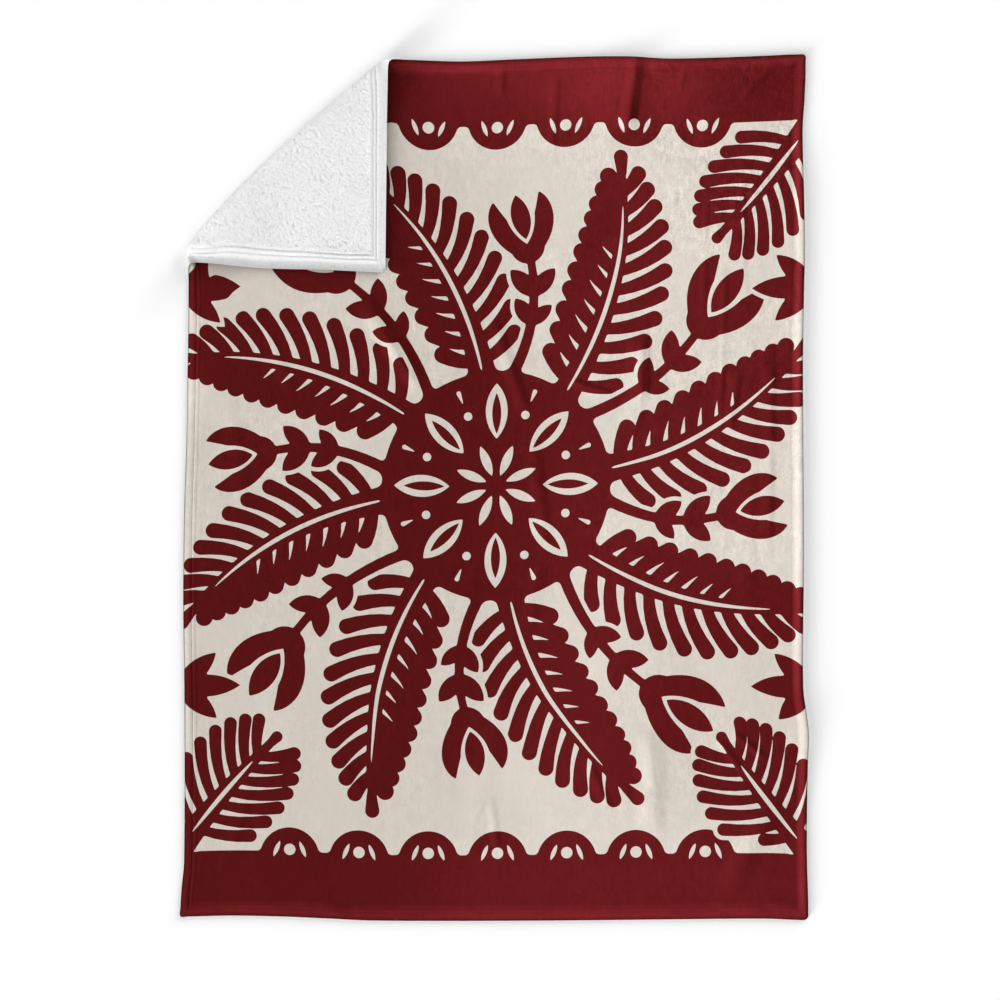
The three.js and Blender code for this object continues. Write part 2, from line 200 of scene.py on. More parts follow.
CREST = SECTION[2][0] + FOLD_ARCS[2][1] * (180 - FOLD_ARCS[0][0] - FOLD_ARCS[1][0]) * RAD
TOP = float(section_at(np.array([CREST]))[1][0])


def ridges(rows, x, y):
    z = np.zeros_like(x)
    for x0, y0, x1, y1, high, left, right, ends in rows:
        size = math.hypot(x1 - x0, y1 - y0)
        dx, dy = (x1 - x0) / size, (y1 - y0) / size
        run = (x - x0) * dx + (y - y0) * dy
        off = (x - x0) * dy - (y - y0) * dx
        body = smooth(run / ends) * smooth((size - run) / ends)
        z += high * body * hump(off / np.where(off < 0, left, right))
    return z


def relief(x, y):
    z = ridges(RIDGES, x, y)
    for wx, wy, high, wide, tall, lean in SWELLS:
        c, s = math.cos(lean * RAD), math.sin(lean * RAD)
        a = ((x - wx) * c + (y - wy) * s) / wide
        b = ((y - wy) * c - (x - wx) * s) / tall
        z += high * hump(np.minimum(1, np.hypot(a, b)))
    lift = smooth((y - HEM_LIFT["start"]) / HEM_LIFT["ends"]) * smooth(
        (HEM_LIFT["stop"] - y) / HEM_LIFT["ends"]
    )
    return z + HEM_LIFT["high"] * lift * smooth((x - HALF_W + HEM_LIFT["wide"]) / HEM_LIFT["wide"])


def drawn_in(u, v):
    """The hem is drawn in towards the rim where it turns over the fold's left end,
    and spread inward along the turned corner's lower side."""
    inset = u + HALF_W
    return u - through(DRAWN_AT, v) * through(DRAWN_BY, inset) + smooth((v - 495) / 80) * through(SPREAD_IN, inset)


def spread(u, v):
    u = drawn_in(u, v)
    for side_u, side_v, by in POINTED:
        r = np.hypot(u - side_u * (HALF_W - 3), v - side_v * (HALF_L - 3))
        pull = by * 0.707 * hump(np.minimum(1, r / 14))
        u, v = u + side_u * pull, v + side_v * pull
    fx, fy = (u + HALF_W) / WIDTH, (v + HALF_L) / LENGTH
    x = u - through(EDGE_OFFSETS["left"], v) * (1 - fx) + through(EDGE_OFFSETS["right"], v) * fx
    y = v - through(EDGE_OFFSETS["bottom"], u) * (1 - fy) + through(EDGE_OFFSETS["top"], u) * fy
    return x, y


def spread_one(u, v):
    x, y = spread(np.array([float(u)]), np.array([float(v)]))
    return to_fold(float(x[0]), float(y[0]))


CORNER_T, CORNER_S = spread_one(-HALF_W, HALF_L)
TIP_T, TIP_S = to_fold(*TIP)
LENGTHENED = (-TIP_S - CORNER_S) / CORNER_S
SHEARED = (TIP_T - CORNER_T) / CORNER_S
LEFT_EDGE, TOP_EDGE = spread_one(-HALF_W, 700), spread_one(-450, HALF_L)


def flap_depth(t):
    return np.maximum(
        1,
        np.minimum(
            t * LEFT_EDGE[1] / LEFT_EDGE[0],
            (FOLD_SPAN - t) * TOP_EDGE[1] / (FOLD_SPAN - TOP_EDGE[0]),
        ),
    )


def lay(u, v):
    """Mid seam surface, in mm."""
    t, s = to_fold(*spread(u, v))
    over = np.maximum(0, s)
    reach, up = section_at(np.maximum(s - LIFT_OFF, 0))
    bent = s > LIFT_OFF
    out = np.where(bent, LIFT_OFF + reach - LENGTHENED * over, s)
    full = through(FOLD_FULLNESS, t)
    rise = np.where(
        s - LIFT_OFF < CREST,
        up * (1 + full * (TOP - FLAP_LEVEL) / TOP),
        FLAP_LEVEL + (up - FLAP_LEVEL) * (1 + full),
    )
    rise = np.where(bent, rise, 0)
    felt = np.where(
        s < 0,
        smooth((s + BOW_FADE) / BOW_FADE),
        1 - smooth(s / np.minimum(flap_depth(t), BOW_FADE)),
    )
    x, y = from_fold(t + SHEARED * over, out + through(FOLD_BOW, t) * felt)
    return np.stack([x - MIDDLE[0], y - MIDDLE[1], SEAT + rise + relief(x, y)], 1)


def lay_normal(u, v):
    e = 0.5
    du = lay(u + e, v) - lay(u - e, v)
    dv = lay(u, v + e) - lay(u, v - e)
    n = np.cross(du, dv)
    return n / np.linalg.norm(n, axis=1)[:, None]


def turned_over(u, v):
    """0 on the flat cloth, 1 where it is lifted into the fold and on the turned corner."""
    return smooth((to_fold(*spread(u, v))[1] - LIFT_OFF) / 34)


def edge_distance(u, v):
    """How far a point of the flat cloth is from its edge."""
    a, b = np.abs(u) - HALF_W + CORNER_RADIUS, np.abs(v) - HALF_L + CORNER_RADIUS
    return CORNER_RADIUS - np.hypot(np.maximum(a, 0), np.maximum(b, 0)) - np.minimum(np.maximum(a, b), 0)


# ======================================================================================
# Noise on the flat cloth
# ======================================================================================
RANDOM = np.random.default_rng(20)
TABLE = RANDOM.random((256, 256))
TABLE_B = RANDOM.random((256, 256))


def noise(x, y, seed=0):
    """Gradient noise, about -0.7 to 0.7, with features about 1 across."""
    xi, yi = np.floor(x).astype(int), np.floor(y).astype(int)
    fx, fy = x - xi, y - yi
    sx, sy = (f**3 * (f * (6 * f - 15) + 10) for f in (fx, fy))

    def corner(i, j):
        a = TABLE[(yi + j + 31 * seed) & 255, (xi + i + 57 * seed) & 255] * 2 * math.pi
        return np.cos(a) * (fx - i) + np.sin(a) * (fy - j)

    low = corner(0, 0) * (1 - sx) + corner(1, 0) * sx
    high = corner(0, 1) * (1 - sx) + corner(1, 1) * sx
    return low * (1 - sy) + high * sy


def tufts(x, y, size, seed=0):
    """Round-topped curls of about that size: 1 on their crowns, 0 and less between."""
    x, y = x / size, y / size
    xi, yi = np.floor(x).astype(int), np.floor(y).astype(int)
    best = np.full(x.shape, 9.0)
    for j in (-1, 0, 1):
        for i in (-1, 0, 1):
            a, b = (yi + j + 13 * seed) & 255, (xi + i + 29 * seed) & 255
            d = (xi + i + TABLE[a, b] - x) ** 2 + (yi + j + TABLE_B[a, b] - y) ** 2
            best = np.minimum(best, d)
    return 1 - best / 0.45

# ======================================================================================
# The print: a generic cut-paper design, drawn with plain shapes on the flat cloth
# ======================================================================================
CENTRE = (4.0, 10.0)
STEP = 1.25


class Ink:
    """Signed distances over the flat cloth, in mm, below zero where it is red."""

    def __init__(self, margin=30.0):
        self.x0, self.y0 = -HALF_W - margin, -HALF_L - margin
        self.xs = self.x0 + np.arange(int((WIDTH + 2 * margin) / STEP) + 1) * STEP
        self.ys = self.y0 + np.arange(int((LENGTH + 2 * margin) / STEP) + 1) * STEP
        self.d = np.full((len(self.ys), len(self.xs)), 60.0)

    def put(self, distance, box, blend=0.0, cut=False, pad=16.0):
        i0, i1 = ((b - self.x0) / STEP for b in (box[0] - pad, box[1] + pad))
        j0, j1 = ((b - self.y0) / STEP for b in (box[2] - pad, box[3] + pad))
        si = slice(max(0, int(i0)), max(0, int(i1) + 2))
        sj = slice(max(0, int(j0)), max(0, int(j1) + 2))
        x, y, old = self.xs[None, si], self.ys[sj, None], self.d[sj, si]
        if not old.size:
            return
        d = distance(x, y)
        if cut:
            self.d[sj, si] = np.maximum(old, -d)
        elif blend:
            h = np.clip(0.5 + 0.5 * (d - old) / blend, 0, 1)
            self.d[sj, si] = d + (old - d) * h - blend * h * (1 - h)
        else:
            self.d[sj, si] = np.minimum(old, d)

    def stroke(self, a, b, ra, rb, blend=0.0, cut=False):
        """A round-ended stroke whose half width goes from ra to rb."""
        (ax, ay), (bx, by) = a, b
        dx, dy = bx - ax, by - ay
        size = max(1e-9, dx * dx + dy * dy)

        def distance(x, y):
            h = np.clip(((x - ax) * dx + (y - ay) * dy) / size, 0, 1)
            return np.hypot(x - ax - dx * h, y - ay - dy * h) - (ra + (rb - ra) * h)

        r = max(ra, rb)
        self.put(distance, (min(ax, bx) - r, max(ax, bx) + r, min(ay, by) - r, max(ay, by) + r), blend, cut)

    def disc(self, c, r, blend=0.0, cut=False):
        self.stroke(c, c, r, r, blend, cut)

    def leaf(self, a, b, width, blend=0.0, cut=False):
        """A leaf between two points, pointed at both ends."""
        (ax, ay), (bx, by) = a, b
        size = math.hypot(bx - ax, by - ay)
        ux, uy, mx, my = (bx - ax) / size, (by - ay) / size, (ax + bx) / 2, (ay + by) / 2
        q = width / 2
        r = (size * size / 4 + q * q) / (2 * q)

        def distance(x, y):
            p = (x - mx) * ux + (y - my) * uy
            t = np.abs(-(x - mx) * uy + (y - my) * ux)
            return np.hypot(p, t + r - q) - r

        self.put(distance, (min(ax, bx) - q, max(ax, bx) + q, min(ay, by) - q, max(ay, by) + q), blend, cut)

    def lay_over(self, other, gap):
        """Lays another drawing over this one, with a clear line round it."""
        self.d = np.minimum(np.maximum(self.d, gap - other.d), other.d)


def bowed(a, b, bend, n):
    t = np.linspace(0, 1, n)
    dx, dy = b[0] - a[0], b[1] - a[1]
    size = math.hypot(dx, dy)
    o = 4 * t * (1 - t) * bend
    return np.stack([a[0] + dx * t - dy / size * o, a[1] + dy * t + dx / size * o], 1)


def plume(ink, place, a, b, bend, lobes, reach, base, end, start, left, tail, slit, limit=None):
    """A feathery leaf: a stout rib with round lobes on both sides and a slit along it."""
    n, blend = 34, 3.0
    p = bowed(a, b, bend, n)
    t = np.linspace(0, 1, n)
    half = base + (end - base) * t**0.75
    for i in range(n - 1):
        ink.stroke(place(p[i]), place(p[i + 1]), half[i], half[i + 1], 0 if i else blend)
    step = np.hypot(*np.diff(p, axis=0).T)
    pitch = step.sum() * (1 - start) / (lobes + 0.15)
    for j in range(lobes):
        at = (start + (1 - start) * (j + 0.15) / (lobes + 0.15)) * (n - 1)
        i = min(n - 2, int(at))
        root = p[i] + (p[i + 1] - p[i]) * (at - i)
        u = (p[i + 1] - p[i]) / step[i]
        side_way = np.array([-u[1], u[0]])
        q = (j + 0.5) / lobes
        grow = 0.56 + 0.56 * math.sin(math.pi * (0.10 + 0.78 * q)) - tail * q**2.2
        for side, share in ((1, left), (-1, 1.0)):
            lean = 0.42 + 0.46 * q
            v = u * math.sin(lean) + side_way * side * math.cos(lean)
            r = reach * grow * share
            w = pitch * (1.0 - side * bend / 900.0)
            bend_by, tip = root + v * r * 0.52 - u * r * 0.16, root + v * r
            if limit is not None and tip[1] > limit:
                r *= (limit - root[1]) / (tip[1] - root[1])
                if r < 0.3 * reach * grow * share:
                    continue
                bend_by, tip = root + v * r * 0.52 - u * r * 0.16, root + v * r
            steps = 5
            curve = [
                root * (1 - q) ** 2 + bend_by * 2 * q * (1 - q) + tip * q * q for q in np.linspace(0, 1, steps + 1)
            ]
            thick = [w * (0.27 + 0.14 * q) for q in np.linspace(0, 1, steps + 1)]
            for k in range(steps):
                ink.stroke(place(curve[k]), place(curve[k + 1]), thick[k], thick[k + 1], 0 if k else blend)
    u = (p[-1] - p[-2]) / step[-1]
    ink.stroke(place(p[-1]), place(p[-1] + u * pitch * 0.75), pitch * 0.25, pitch * 0.36, blend)
    first, last, width = int(slit[0] * n), int(slit[1] * n), slit[2]
    wide = [width * math.sin(math.pi * k / (last - first)) ** 0.6 + 0.2 for k in range(last - first)] + [0.2]
    for k in range(last - first):
        i = first + k
        ink.stroke(place(p[i]), place(p[i + 1]), wide[k], wide[k + 1], cut=True)


def bloom(ink, place, c, angle, size):
    """A three-petalled flower seen from the side."""
    blend = 3.0
    u = np.array([math.cos(angle), math.sin(angle)])
    n = np.array([-u[1], u[0]])

    def at(p, q):
        return place(np.asarray(c) + u * p * size + n * q * size)

    ink.disc(at(0.05, 0), size * 0.36, blend)
    for s in (-1, 1):
        steps = 18
        q = np.linspace(0, 1, steps + 1)
        p = (1 - q) ** 2 * 0.02 + 2 * q * (1 - q) * 0.52 + q * q * 1.08
        o = (1 - q) ** 2 * 0.10 + 2 * q * (1 - q) * 0.62 + q * q * 0.50
        thick = size * (0.21 + 0.10 * q - 0.285 * q**2.6)
        for k in range(steps):
            ink.stroke(at(p[k], s * o[k]), at(p[k + 1], s * o[k + 1]), thick[k], thick[k + 1], 0 if k else blend)
    ink.leaf(at(0.10, 0), at(1.55, 0), size * 0.62, cut=True)
    ink.leaf(at(0.20, 0), at(1.15, 0), size * 0.40)


def stalk(ink, place, a, b, bend, size, leaves):
    p = bowed(a, b, bend, 14)
    for i in range(13):
        ink.stroke(place(p[i]), place(p[i + 1]), 12 - i * 0.3, 12 - i * 0.3, 0 if i else 4.0)
    way = p[-1] - p[-2]
    bloom(ink, place, p[-1] + way * 0.6, math.atan2(way[1], way[0]), size)
    for where, side, long, wide in leaves:
        i = int(where * 13)
        u = p[i + 1] - p[i]
        u = u / np.hypot(*u)
        v = u * 0.74 + np.array([-u[1], u[0]]) * side * 0.67
        ink.leaf(place(p[i] - v * 8), place(p[i] + v * long), wide, 3.0)


def draw_print():
    eighth = math.pi / 4
    ink, stalks, sprays = Ink(), Ink(), Ink()

    def turned(angle):
        c, s = math.cos(angle), math.sin(angle)
        return lambda p: (CENTRE[0] + p[0] * c - p[1] * s, CENTRE[1] + p[0] * s + p[1] * c)

    # eight plumes round the middle, all leaning the same way, with a flower between each two
    for m in range(8):
        place = turned(m * eighth + 0.16)
        long = 700 if m % 2 else 690
        plume(ink, place, (180, -8), (long * math.cos(0.24), long * math.sin(0.24)), -48, 11, 118, 34, 8,
              start=0.14, left=0.86, tail=0.42, slit=(0.08, 0.86, 4.4))
        size, far = (100, 580) if m % 2 else (118, 650)
        far -= size * 0.95
        stalk(stalks, place, (225 * math.cos(0.50), 225 * math.sin(0.50)),
              (far * math.cos(0.49), far * math.sin(0.49)), -26, size,
              ((0.50, 1, 62, 34), (0.50, -1, 56, 30), (0.76, 1, 72, 38), (0.76, -1, 68, 36)))
    ink.lay_over(stalks, 8.5)

    # plain bands across both ends, scalloped along their inner side
    pitch, edge = WIDTH / 9, 762.0
    x, y = ink.xs[None, :], ink.ys[:, None]
    ink.d = np.minimum(ink.d, edge - np.abs(y) + 0 * x)
    for s in (-1, 1):
        for m in range(-3, 4):
            ink.disc((CENTRE[0] + m * pitch, s * (edge + 12)), pitch * 0.43, 8.0)
        for m in range(-3, 4):
            c = CENTRE[0] + m * pitch
            ink.disc((c, s * (edge - 4)), 12.0, cut=True)
            for q in (-1, 1):
                ink.leaf((c + 34 * q, s * (edge + 12)), (c + 20 * q, s * (edge - 22)), 9.0, cut=True)

    # a plume in each corner and a three-leaved sprig on each side
    for sx in (1, -1):
        for sy in (1, -1):
            def place(p, sx=sx, sy=sy):
                return CENTRE[0] + sx * p[0], sy * p[1]

            plume(sprays, place, (720, 834), (478, 540), 8 * sx * sy, 8, 122, 40, 9,
                  start=0.30, left=1.0, tail=0.25, slit=(0.36, 0.86, 4.4), limit=734)
            for turn, long, wide in ((0.0, 128, 46), (0.72, 104, 40), (-0.72, 104, 40)):
                c, s = math.cos(turn), math.sin(turn)
                sprays.leaf(place((664 + 14 * c, 415 - 14 * s)), place((664 - long * c, 415 + long * s)), wide, 5.0)
            sprays.disc(place((660, 415)), 30, 5.0)
    between = np.abs(y) + 0 * x < edge + 0.6
    sprays.d = np.where(between, sprays.d, 40.0)
    ink.d = np.minimum(np.where(between, np.maximum(ink.d, 8.5 - sprays.d), ink.d), sprays.d)

    # the round middle with its cut-outs
    ink.disc(CENTRE, 240, 12.0)
    for m in range(8):
        def polar(r, turn):
            return CENTRE[0] + r * math.cos(turn), CENTRE[1] + r * math.sin(turn)

        a, h = m * eighth, (m + 0.5) * eighth
        ink.leaf(polar(98, a), polar(214, a), 46, cut=True)
        ink.leaf(polar(108, a), polar(194, a), 19)
        ink.leaf(polar(22, h), polar(90, h), 19, cut=True)
        ink.disc(polar(158, h), 9.0, cut=True)
        ink.stroke(polar(188, h), polar(210, h), 1.0, 5.0, cut=True)
    return ink


def outlines(ink):
    """The print's edges as closed or open lines of points, from the grid of distances."""
    d = np.where(np.abs(ink.d) < 1e-6, 1e-6, ink.d)
    ny, nx = d.shape
    red = d < 0
    # crossings on horizontal grid edges get ids 0.., on vertical ones nx*ny..
    place = {}
    cross_h = red[:, :-1] != red[:, 1:]
    cross_v = red[:-1, :] != red[1:, :]
    jj, ii = np.nonzero(cross_h)
    t = d[jj, ii] / (d[jj, ii] - d[jj, ii + 1])
    for k, x, y in zip((jj * nx + ii).tolist(), (ink.xs[ii] + t * STEP).tolist(), ink.ys[jj].tolist()):
        place[k] = (x, y)
    jj, ii = np.nonzero(cross_v)
    t = d[jj, ii] / (d[jj, ii] - d[jj + 1, ii])
    for k, x, y in zip((nx * ny + jj * nx + ii).tolist(), ink.xs[ii].tolist(), (ink.ys[jj] + t * STEP).tolist()):
        place[k] = (x, y)
    links = {}

    def link(a, b):
        links.setdefault(a, []).append(b)
        links.setdefault(b, []).append(a)

    mixed = (red[:-1, :-1] != red[1:, :-1]) | (red[:-1, :-1] != red[:-1, 1:]) | (red[1:, 1:] != red[1:, :-1]) | (red[1:, 1:] != red[:-1, 1:])
    for j, i in zip(*(q.tolist() for q in np.nonzero(mixed))):
        south, north = j * nx + i, (j + 1) * nx + i
        west, east = nx * ny + j * nx + i, nx * ny + j * nx + i + 1
        here = [e for e in (south, east, north, west) if e in place]
        if len(here) == 2:
            link(*here)
        elif len(here) == 4:
            middle = d[j, i] + d[j, i + 1] + d[j + 1, i] + d[j + 1, i + 1] < 0
            if middle == bool(red[j, i]):
                link(south, east)
                link(north, west)
            else:
                link(south, west)
                link(north, east)
    lines, seen = [], set()
    for begin in sorted(links, key=lambda k: len(links[k])):  # open lines first
        if begin in seen:
            continue
        line, at, came = [begin], begin, None
        seen.add(begin)
        while True:
            onward = [k for k in links[at] if k != came and k not in seen]
            if not onward:
                break
            came, at = at, onward[0]
            seen.add(at)
            line.append(at)
        closed = len(line) > 3 and begin in links[at] and len(links[begin]) > 1
        lines.append((np.array([place[k] for k in line]), closed))
    return lines


def evened(points, closed, spacing):
    """The same line with even steps, keeping its sharp corners."""
    if closed:
        points = np.concatenate([points, points[:1]])
    gap = np.hypot(*np.diff(points, axis=0).T)
    points = points[np.concatenate([[True], gap > 1e-4])]
    gap = np.hypot(*np.diff(points, axis=0).T)
    run = np.concatenate([[0], np.cumsum(gap)])
    total = run[-1]
    if total < 3 * spacing:
        return None
    fine = np.linspace(0, total, max(8, int(total / 0.8)) + 1)
    x, y = (np.interp(fine, run, points[:, k]) for k in (0, 1))
    reach = 3
    if closed:
        px, py = (np.concatenate([q[-1 - reach:-1], q, q[1:1 + reach]]) for q in (x, y))
    else:
        px, py = (np.pad(q, reach, mode="edge") for q in (x, y))
    before = np.stack([px[reach:-reach] - px[:-2 * reach], py[reach:-reach] - py[:-2 * reach]])
    after = np.stack([px[2 * reach:] - px[reach:-reach], py[2 * reach:] - py[reach:-reach]])
    turn = np.abs(np.arctan2(before[0] * after[1] - before[1] * after[0], (before * after).sum(0)))
    anchors = [0]
    for k in range(1, len(fine) - 1):
        window = turn[max(0, k - 3):k + 4]
        if turn[k] > 0.9 and turn[k] == window.max() and fine[k] - fine[anchors[-1]] > spacing * 0.6:
            anchors.append(k)
    anchors.append(len(fine) - 1)
    out = []
    for a, b in zip(anchors, anchors[1:]):
        n = max(1, int(round((fine[b] - fine[a]) / spacing)))
        at = fine[a] + (fine[b] - fine[a]) * np.arange(n) / n
        out.append(np.stack([np.interp(at, fine, x), np.interp(at, fine, y)], 1))
    if not closed:
        out.append(np.array([[x[-1], y[-1]]]))
    return np.concatenate(out)


# ======================================================================================
# Triangles over the flat cloth
# ======================================================================================
def honeycomb(spacing):
    rows = int(LENGTH / (spacing * 0.866)) + 2
    cols = int(WIDTH / spacing) + 2
    j, i = np.mgrid[0:rows, 0:cols]
    return np.stack([
        (-HALF_W + (i + 0.5 * (j % 2)) * spacing).ravel(),
        (-HALF_L + j * spacing * 0.866).ravel(),
    ], 1)


def thinned(points, cell, taken=None):
    """Drops points that share a small cell with one kept before."""
    if taken is None:
        taken = set()
    keep = []
    for k, (a, b) in enumerate(np.floor(points / cell).astype(int).tolist()):
        if any((a + i, b + j) in taken for i in (-1, 0, 1) for j in (-1, 0, 1)):
            continue
        taken.add((a, b))
        keep.append(k)
    return points[keep]


def fold_rows(first, last, across_step, along_step):
    """Rows of points along the fold, for the parts of the flat cloth that bend."""
    out = []
    for k, s in enumerate(np.arange(first, last, across_step)):
        t = np.arange(-120, FOLD_SPAN + 120, along_step) + (along_step / 2 if k % 2 else 0)
        x, y = from_fold(t, s + 0 * t)
        out.append(np.stack([x, y], 1))
    p = np.concatenate(out)
    for _ in range(3):  # from where it lies back to the flat cloth
        x, y = spread(p[:, 0], p[:, 1])
        if _ == 0:
            want = p.copy()
        p = p + want - np.stack([x, y], 1)
    return p


def regions(faces, held):
    """Labels triangles that join without crossing a kept edge."""
    parent = list(range(len(faces)))

    def root(k):
        while parent[k] != k:
            parent[k] = parent[parent[k]]
            k = parent[k]
        return k

    first = {}
    for f, (a, b, c) in enumerate(faces.tolist()):
        for e in ((a, b), (b, c), (c, a)):
            e = (min(e), max(e))
            if e in held:
                continue
            if e in first:
                parent[root(first[e])] = root(f)
            else:
                first[e] = f
    return np.array([root(k) for k in range(len(faces))])


def read_grid(ink, x, y):
    fx, fy = (x - ink.x0) / STEP, (y - ink.y0) / STEP
    i, j = np.floor(fx).astype(int), np.floor(fy).astype(int)
    fx, fy = fx - i, fy - j
    d = ink.d
    return (d[j, i] * (1 - fx) + d[j, i + 1] * fx) * (1 - fy) + (d[j + 1, i] * (1 - fx) + d[j + 1, i + 1] * fx) * fy


def rim_loop(faces, where):
    """The outer border of the triangles, in order, anticlockwise."""
    count = {}
    for a, b, c in faces.tolist():
        for e in ((a, b), (b, c), (c, a)):
            if (e[1], e[0]) in count:
                del count[(e[1], e[0])]
            else:
                count[e] = True
    after = {a: b for a, b in count}
    start = next(iter(after))
    loop, at = [start], after[start]
    while at != start:
        loop.append(at)
        at = after[at]
    return loop

# ======================================================================================
# Profiles across the two cloths, as offsets from the seam surface in mm
# ======================================================================================
SEAM_FACE, SEAM_BACK = -2.9, 0.6  # level of the edge seam: the side that shows wraps round the rim
ROUND = 4.5  # how far in the rounding of the rim reaches
RIM_ROWS = (0.15, 0.8, 1.9, 4.5)
# Height of the turned hem over the plain cloth, by distance from the edge.
FACE_HEM = ((0, 0), (4, 0.6), (9, 2.0), (13, 2.3), (15.6, 1.5), (17.2, 0.1), (19, 1.5), (21.5, 2.1),
            (24, 1.2), (25.6, 0.3), (27.4, 0.7), (32, 0.8), (44, 0))
FACE_ROWS = (17.2, 25.6)
END_HEM = ((0, 0), (4, 0.6), (9, 2.1), (14, 2.5), (19, 2.2), (25, 1.3), (32, 0.6), (44, 0))
BACK_HEM = ((0, 0), (4, 0.9), (8, 2.0), (12.5, 2.6), (17, 2.1), (19.7, 0.2), (22, 1.35), (24.4, 1.35),
            (26.9, -0.4), (29.7, 0.9), (42, 0.3))
BACK_ROWS = (19.7, 26.9)
ROW_RISE = 1.3
# Painted light and shade on the turned corner's hems: the lower hem's tone by distance from the rim, painted shade
# above its rows and painted light and shade along its rows by distance along the fold, and the other hems' tone by
# distance from the rim.
LOWER_HEM_PAINTED_LIGHT = ((0, 0.48), (2, 0.52), (4, 0.60), (8, 0.74), (11.5, 0.86), (14, 1.10), (16.5, 1.26), (19, 1.20),
                  (23, 1.22), (28, 1.06), (38, 1.0))
LOWER_SHADE = ((0, 0), (180, 0), (300, 0.08), (420, 0.12))
LOWER_ROW_PAINTED_LIGHT = ((0, 0.18), (60, 0.13), (110, -0.02), (200, -0.09), (300, -0.17), (420, -0.22))
RIGHT_HEM_TONE = ((0, 1.08), (8, 1.06), (12, 1.0), (15.5, 0.95), (18.5, 0.95), (24, 1.0))
# Small creases of the printed face: x0, y0, x1, y1, high, left foot, right foot, ends
CREASES = (
    (273, 742, 299, 905, 3.6, 22, 14, 30),
    (305, 180, 311, 315, 1.4, 16, 12, 40),
    (74, 141, -9, 372, 2.8, 26, 16, 64),
    (112, -150, 76, 150, 2.0, 30, 20, 90),
    (60, -330, 108, -120, 1.3, 26, 22, 80),
    (-72, -800, 52, -320, 1.2, 34, 40, 120),
    (-152, 197, -254, 364, 2.8, 22, 14, 42),
    (252, 193, 148, 228, 1.9, 20, 10, 26),
    (490, 116, 513, 250, 2.4, 26, 12, 36),
    (404, 768, 580, 852, 1.5, 16, 26, 50),
    (388, 822, 400, 890, 1.0, 12, 9, 24),
    (512, 806, 588, 888, 1.5, 13, 10, 28),
    (13, 812, 19, 892, 1.4, 18, 10, 24),
    (573, -170, 580, 330, 2.2, 34, 14, 120),
    (470, 40, 484, 500, 1.1, 16, 10, 120),
    (436, 330, 446, 640, 1.0, 15, 9, 90),
    (520, 330, 514, 700, 1.0, 30, 16, 110),
    (530, -330, 546, 240, 0.9, 34, 18, 130),
    (338, -640, 321, -500, 3.2, 30, 13, 40),
    (576, -573, 492, -508, 2.2, 13, 13, 30),
    (526, -604, 461, -518, 1.7, 12, 12, 30),
    (-520, -60, -560, 240, 1.2, 30, 22, 80),
    (-560, -800, -498, -560, 1.4, 26, 20, 70),
    (7, -760, -9, -638, 1.9, 17, 12, 30),
    (-52, -700, -14, -650, 1.6, 12, 10, 20),
    (-300, 560, -360, 640, 0.9, 16, 12, 26),
    (-60, 720, -110, 860, 0.4, 22, 16, 46),
    (120, 700, 132, 880, 1.4, 20, 13, 40),
    (-420, 180, -470, 330, 1.2, 22, 16, 46),
    (250, -690, 190, -560, 1.4, 20, 14, 40),
    (-330, -560, -230, -700, 1.1, 18, 24, 46),
)


def rim_curve(d, reach=ROUND):
    return np.sqrt(np.clip(1 - (1 - np.clip(d, 0, reach) / reach) ** 2, 0, 1))


def seam(over):
    return SEAM_FACE + (SEAM_BACK - SEAM_FACE) * over


def clear_of_corner(x, y):
    """0 under the turned corner and close to it, 1 well away, in the frame's mm."""
    ax, ay = FOLD_LEFT[0] - MIDDLE[0], FOLD_LEFT[1] - MIDDLE[1]
    bx, by = FOLD_TOP[0] - MIDDLE[0], FOLD_TOP[1] - MIDDLE[1]
    cx, cy = TIP[0] - MIDDLE[0], TIP[1] - MIDDLE[1]
    out = np.full(x.shape, -1e9)
    for (px, py), (qx, qy) in (((ax, ay), (cx, cy)), ((cx, cy), (bx, by)), ((bx, by), (ax, ay))):
        size = math.hypot(qx - px, qy - py)
        out = np.maximum(out, ((x - px) * (qy - py) - (y - py) * (qx - px)) / size)
    return smooth((out - 4) / 34)


def face_outer(u, v):
    """The printed side."""
    d, over = edge_distance(u, v), turned_over(u, v)
    at = lay(u, v)
    x, y = at[:, 0], at[:, 1]
    clear = clear_of_corner(x, y) * (1 - over)
    uneven = 1 + 0.5 * noise(u / 55, v / 55, 3) + 0.35 * noise(u / 19, v / 19, 4)
    by_end = smooth(0.5 + (np.abs(v) - HALF_L - np.abs(u) + HALF_W) / 30)
    from_rim = d + 1.1 * noise(u / 46, v / 46, 5)
    puffed = np.where(u > 0, 1.0, by_end)
    hem = (through(FACE_HEM, from_rim) * (1 - puffed) + through(END_HEM, from_rim) * puffed) * uneven
    stitch = hump((d - FACE_ROWS[0]) / 1.6) + hump((d - FACE_ROWS[1]) / 1.6)
    hem = hem - 0.35 * puffed * stitch
    pucker = 0.34 * noise(u / 9.0, v / 9.0, 6) * hump((d - 17) / 16)
    soft = 0.55 * noise(u / 95, v / 150, 7) + 0.30 * noise(u / 38, v / 60, 8) + 0.10 * noise(u / 17, v / 21, 9)
    inside = smooth((d - 6) / 30)
    tip = seam(over) + 0.15
    w = tip + (FACE_OUT - tip) * rim_curve(d)
    w = w + (hem + pucker) * (1 - over) + clear * inside * (soft + ridges(CREASES, x, y))
    # nowhere thinner than 0.7 mm
    return np.where(d > 5, np.maximum(w, LAYER_GAP / 2 + 0.7), w)


def face_inner(u, v):
    tip = seam(turned_over(u, v)) + 0.15
    return tip + (LAYER_GAP / 2 - tip) * rim_curve(edge_distance(u, v) - 1.0, 3.5)


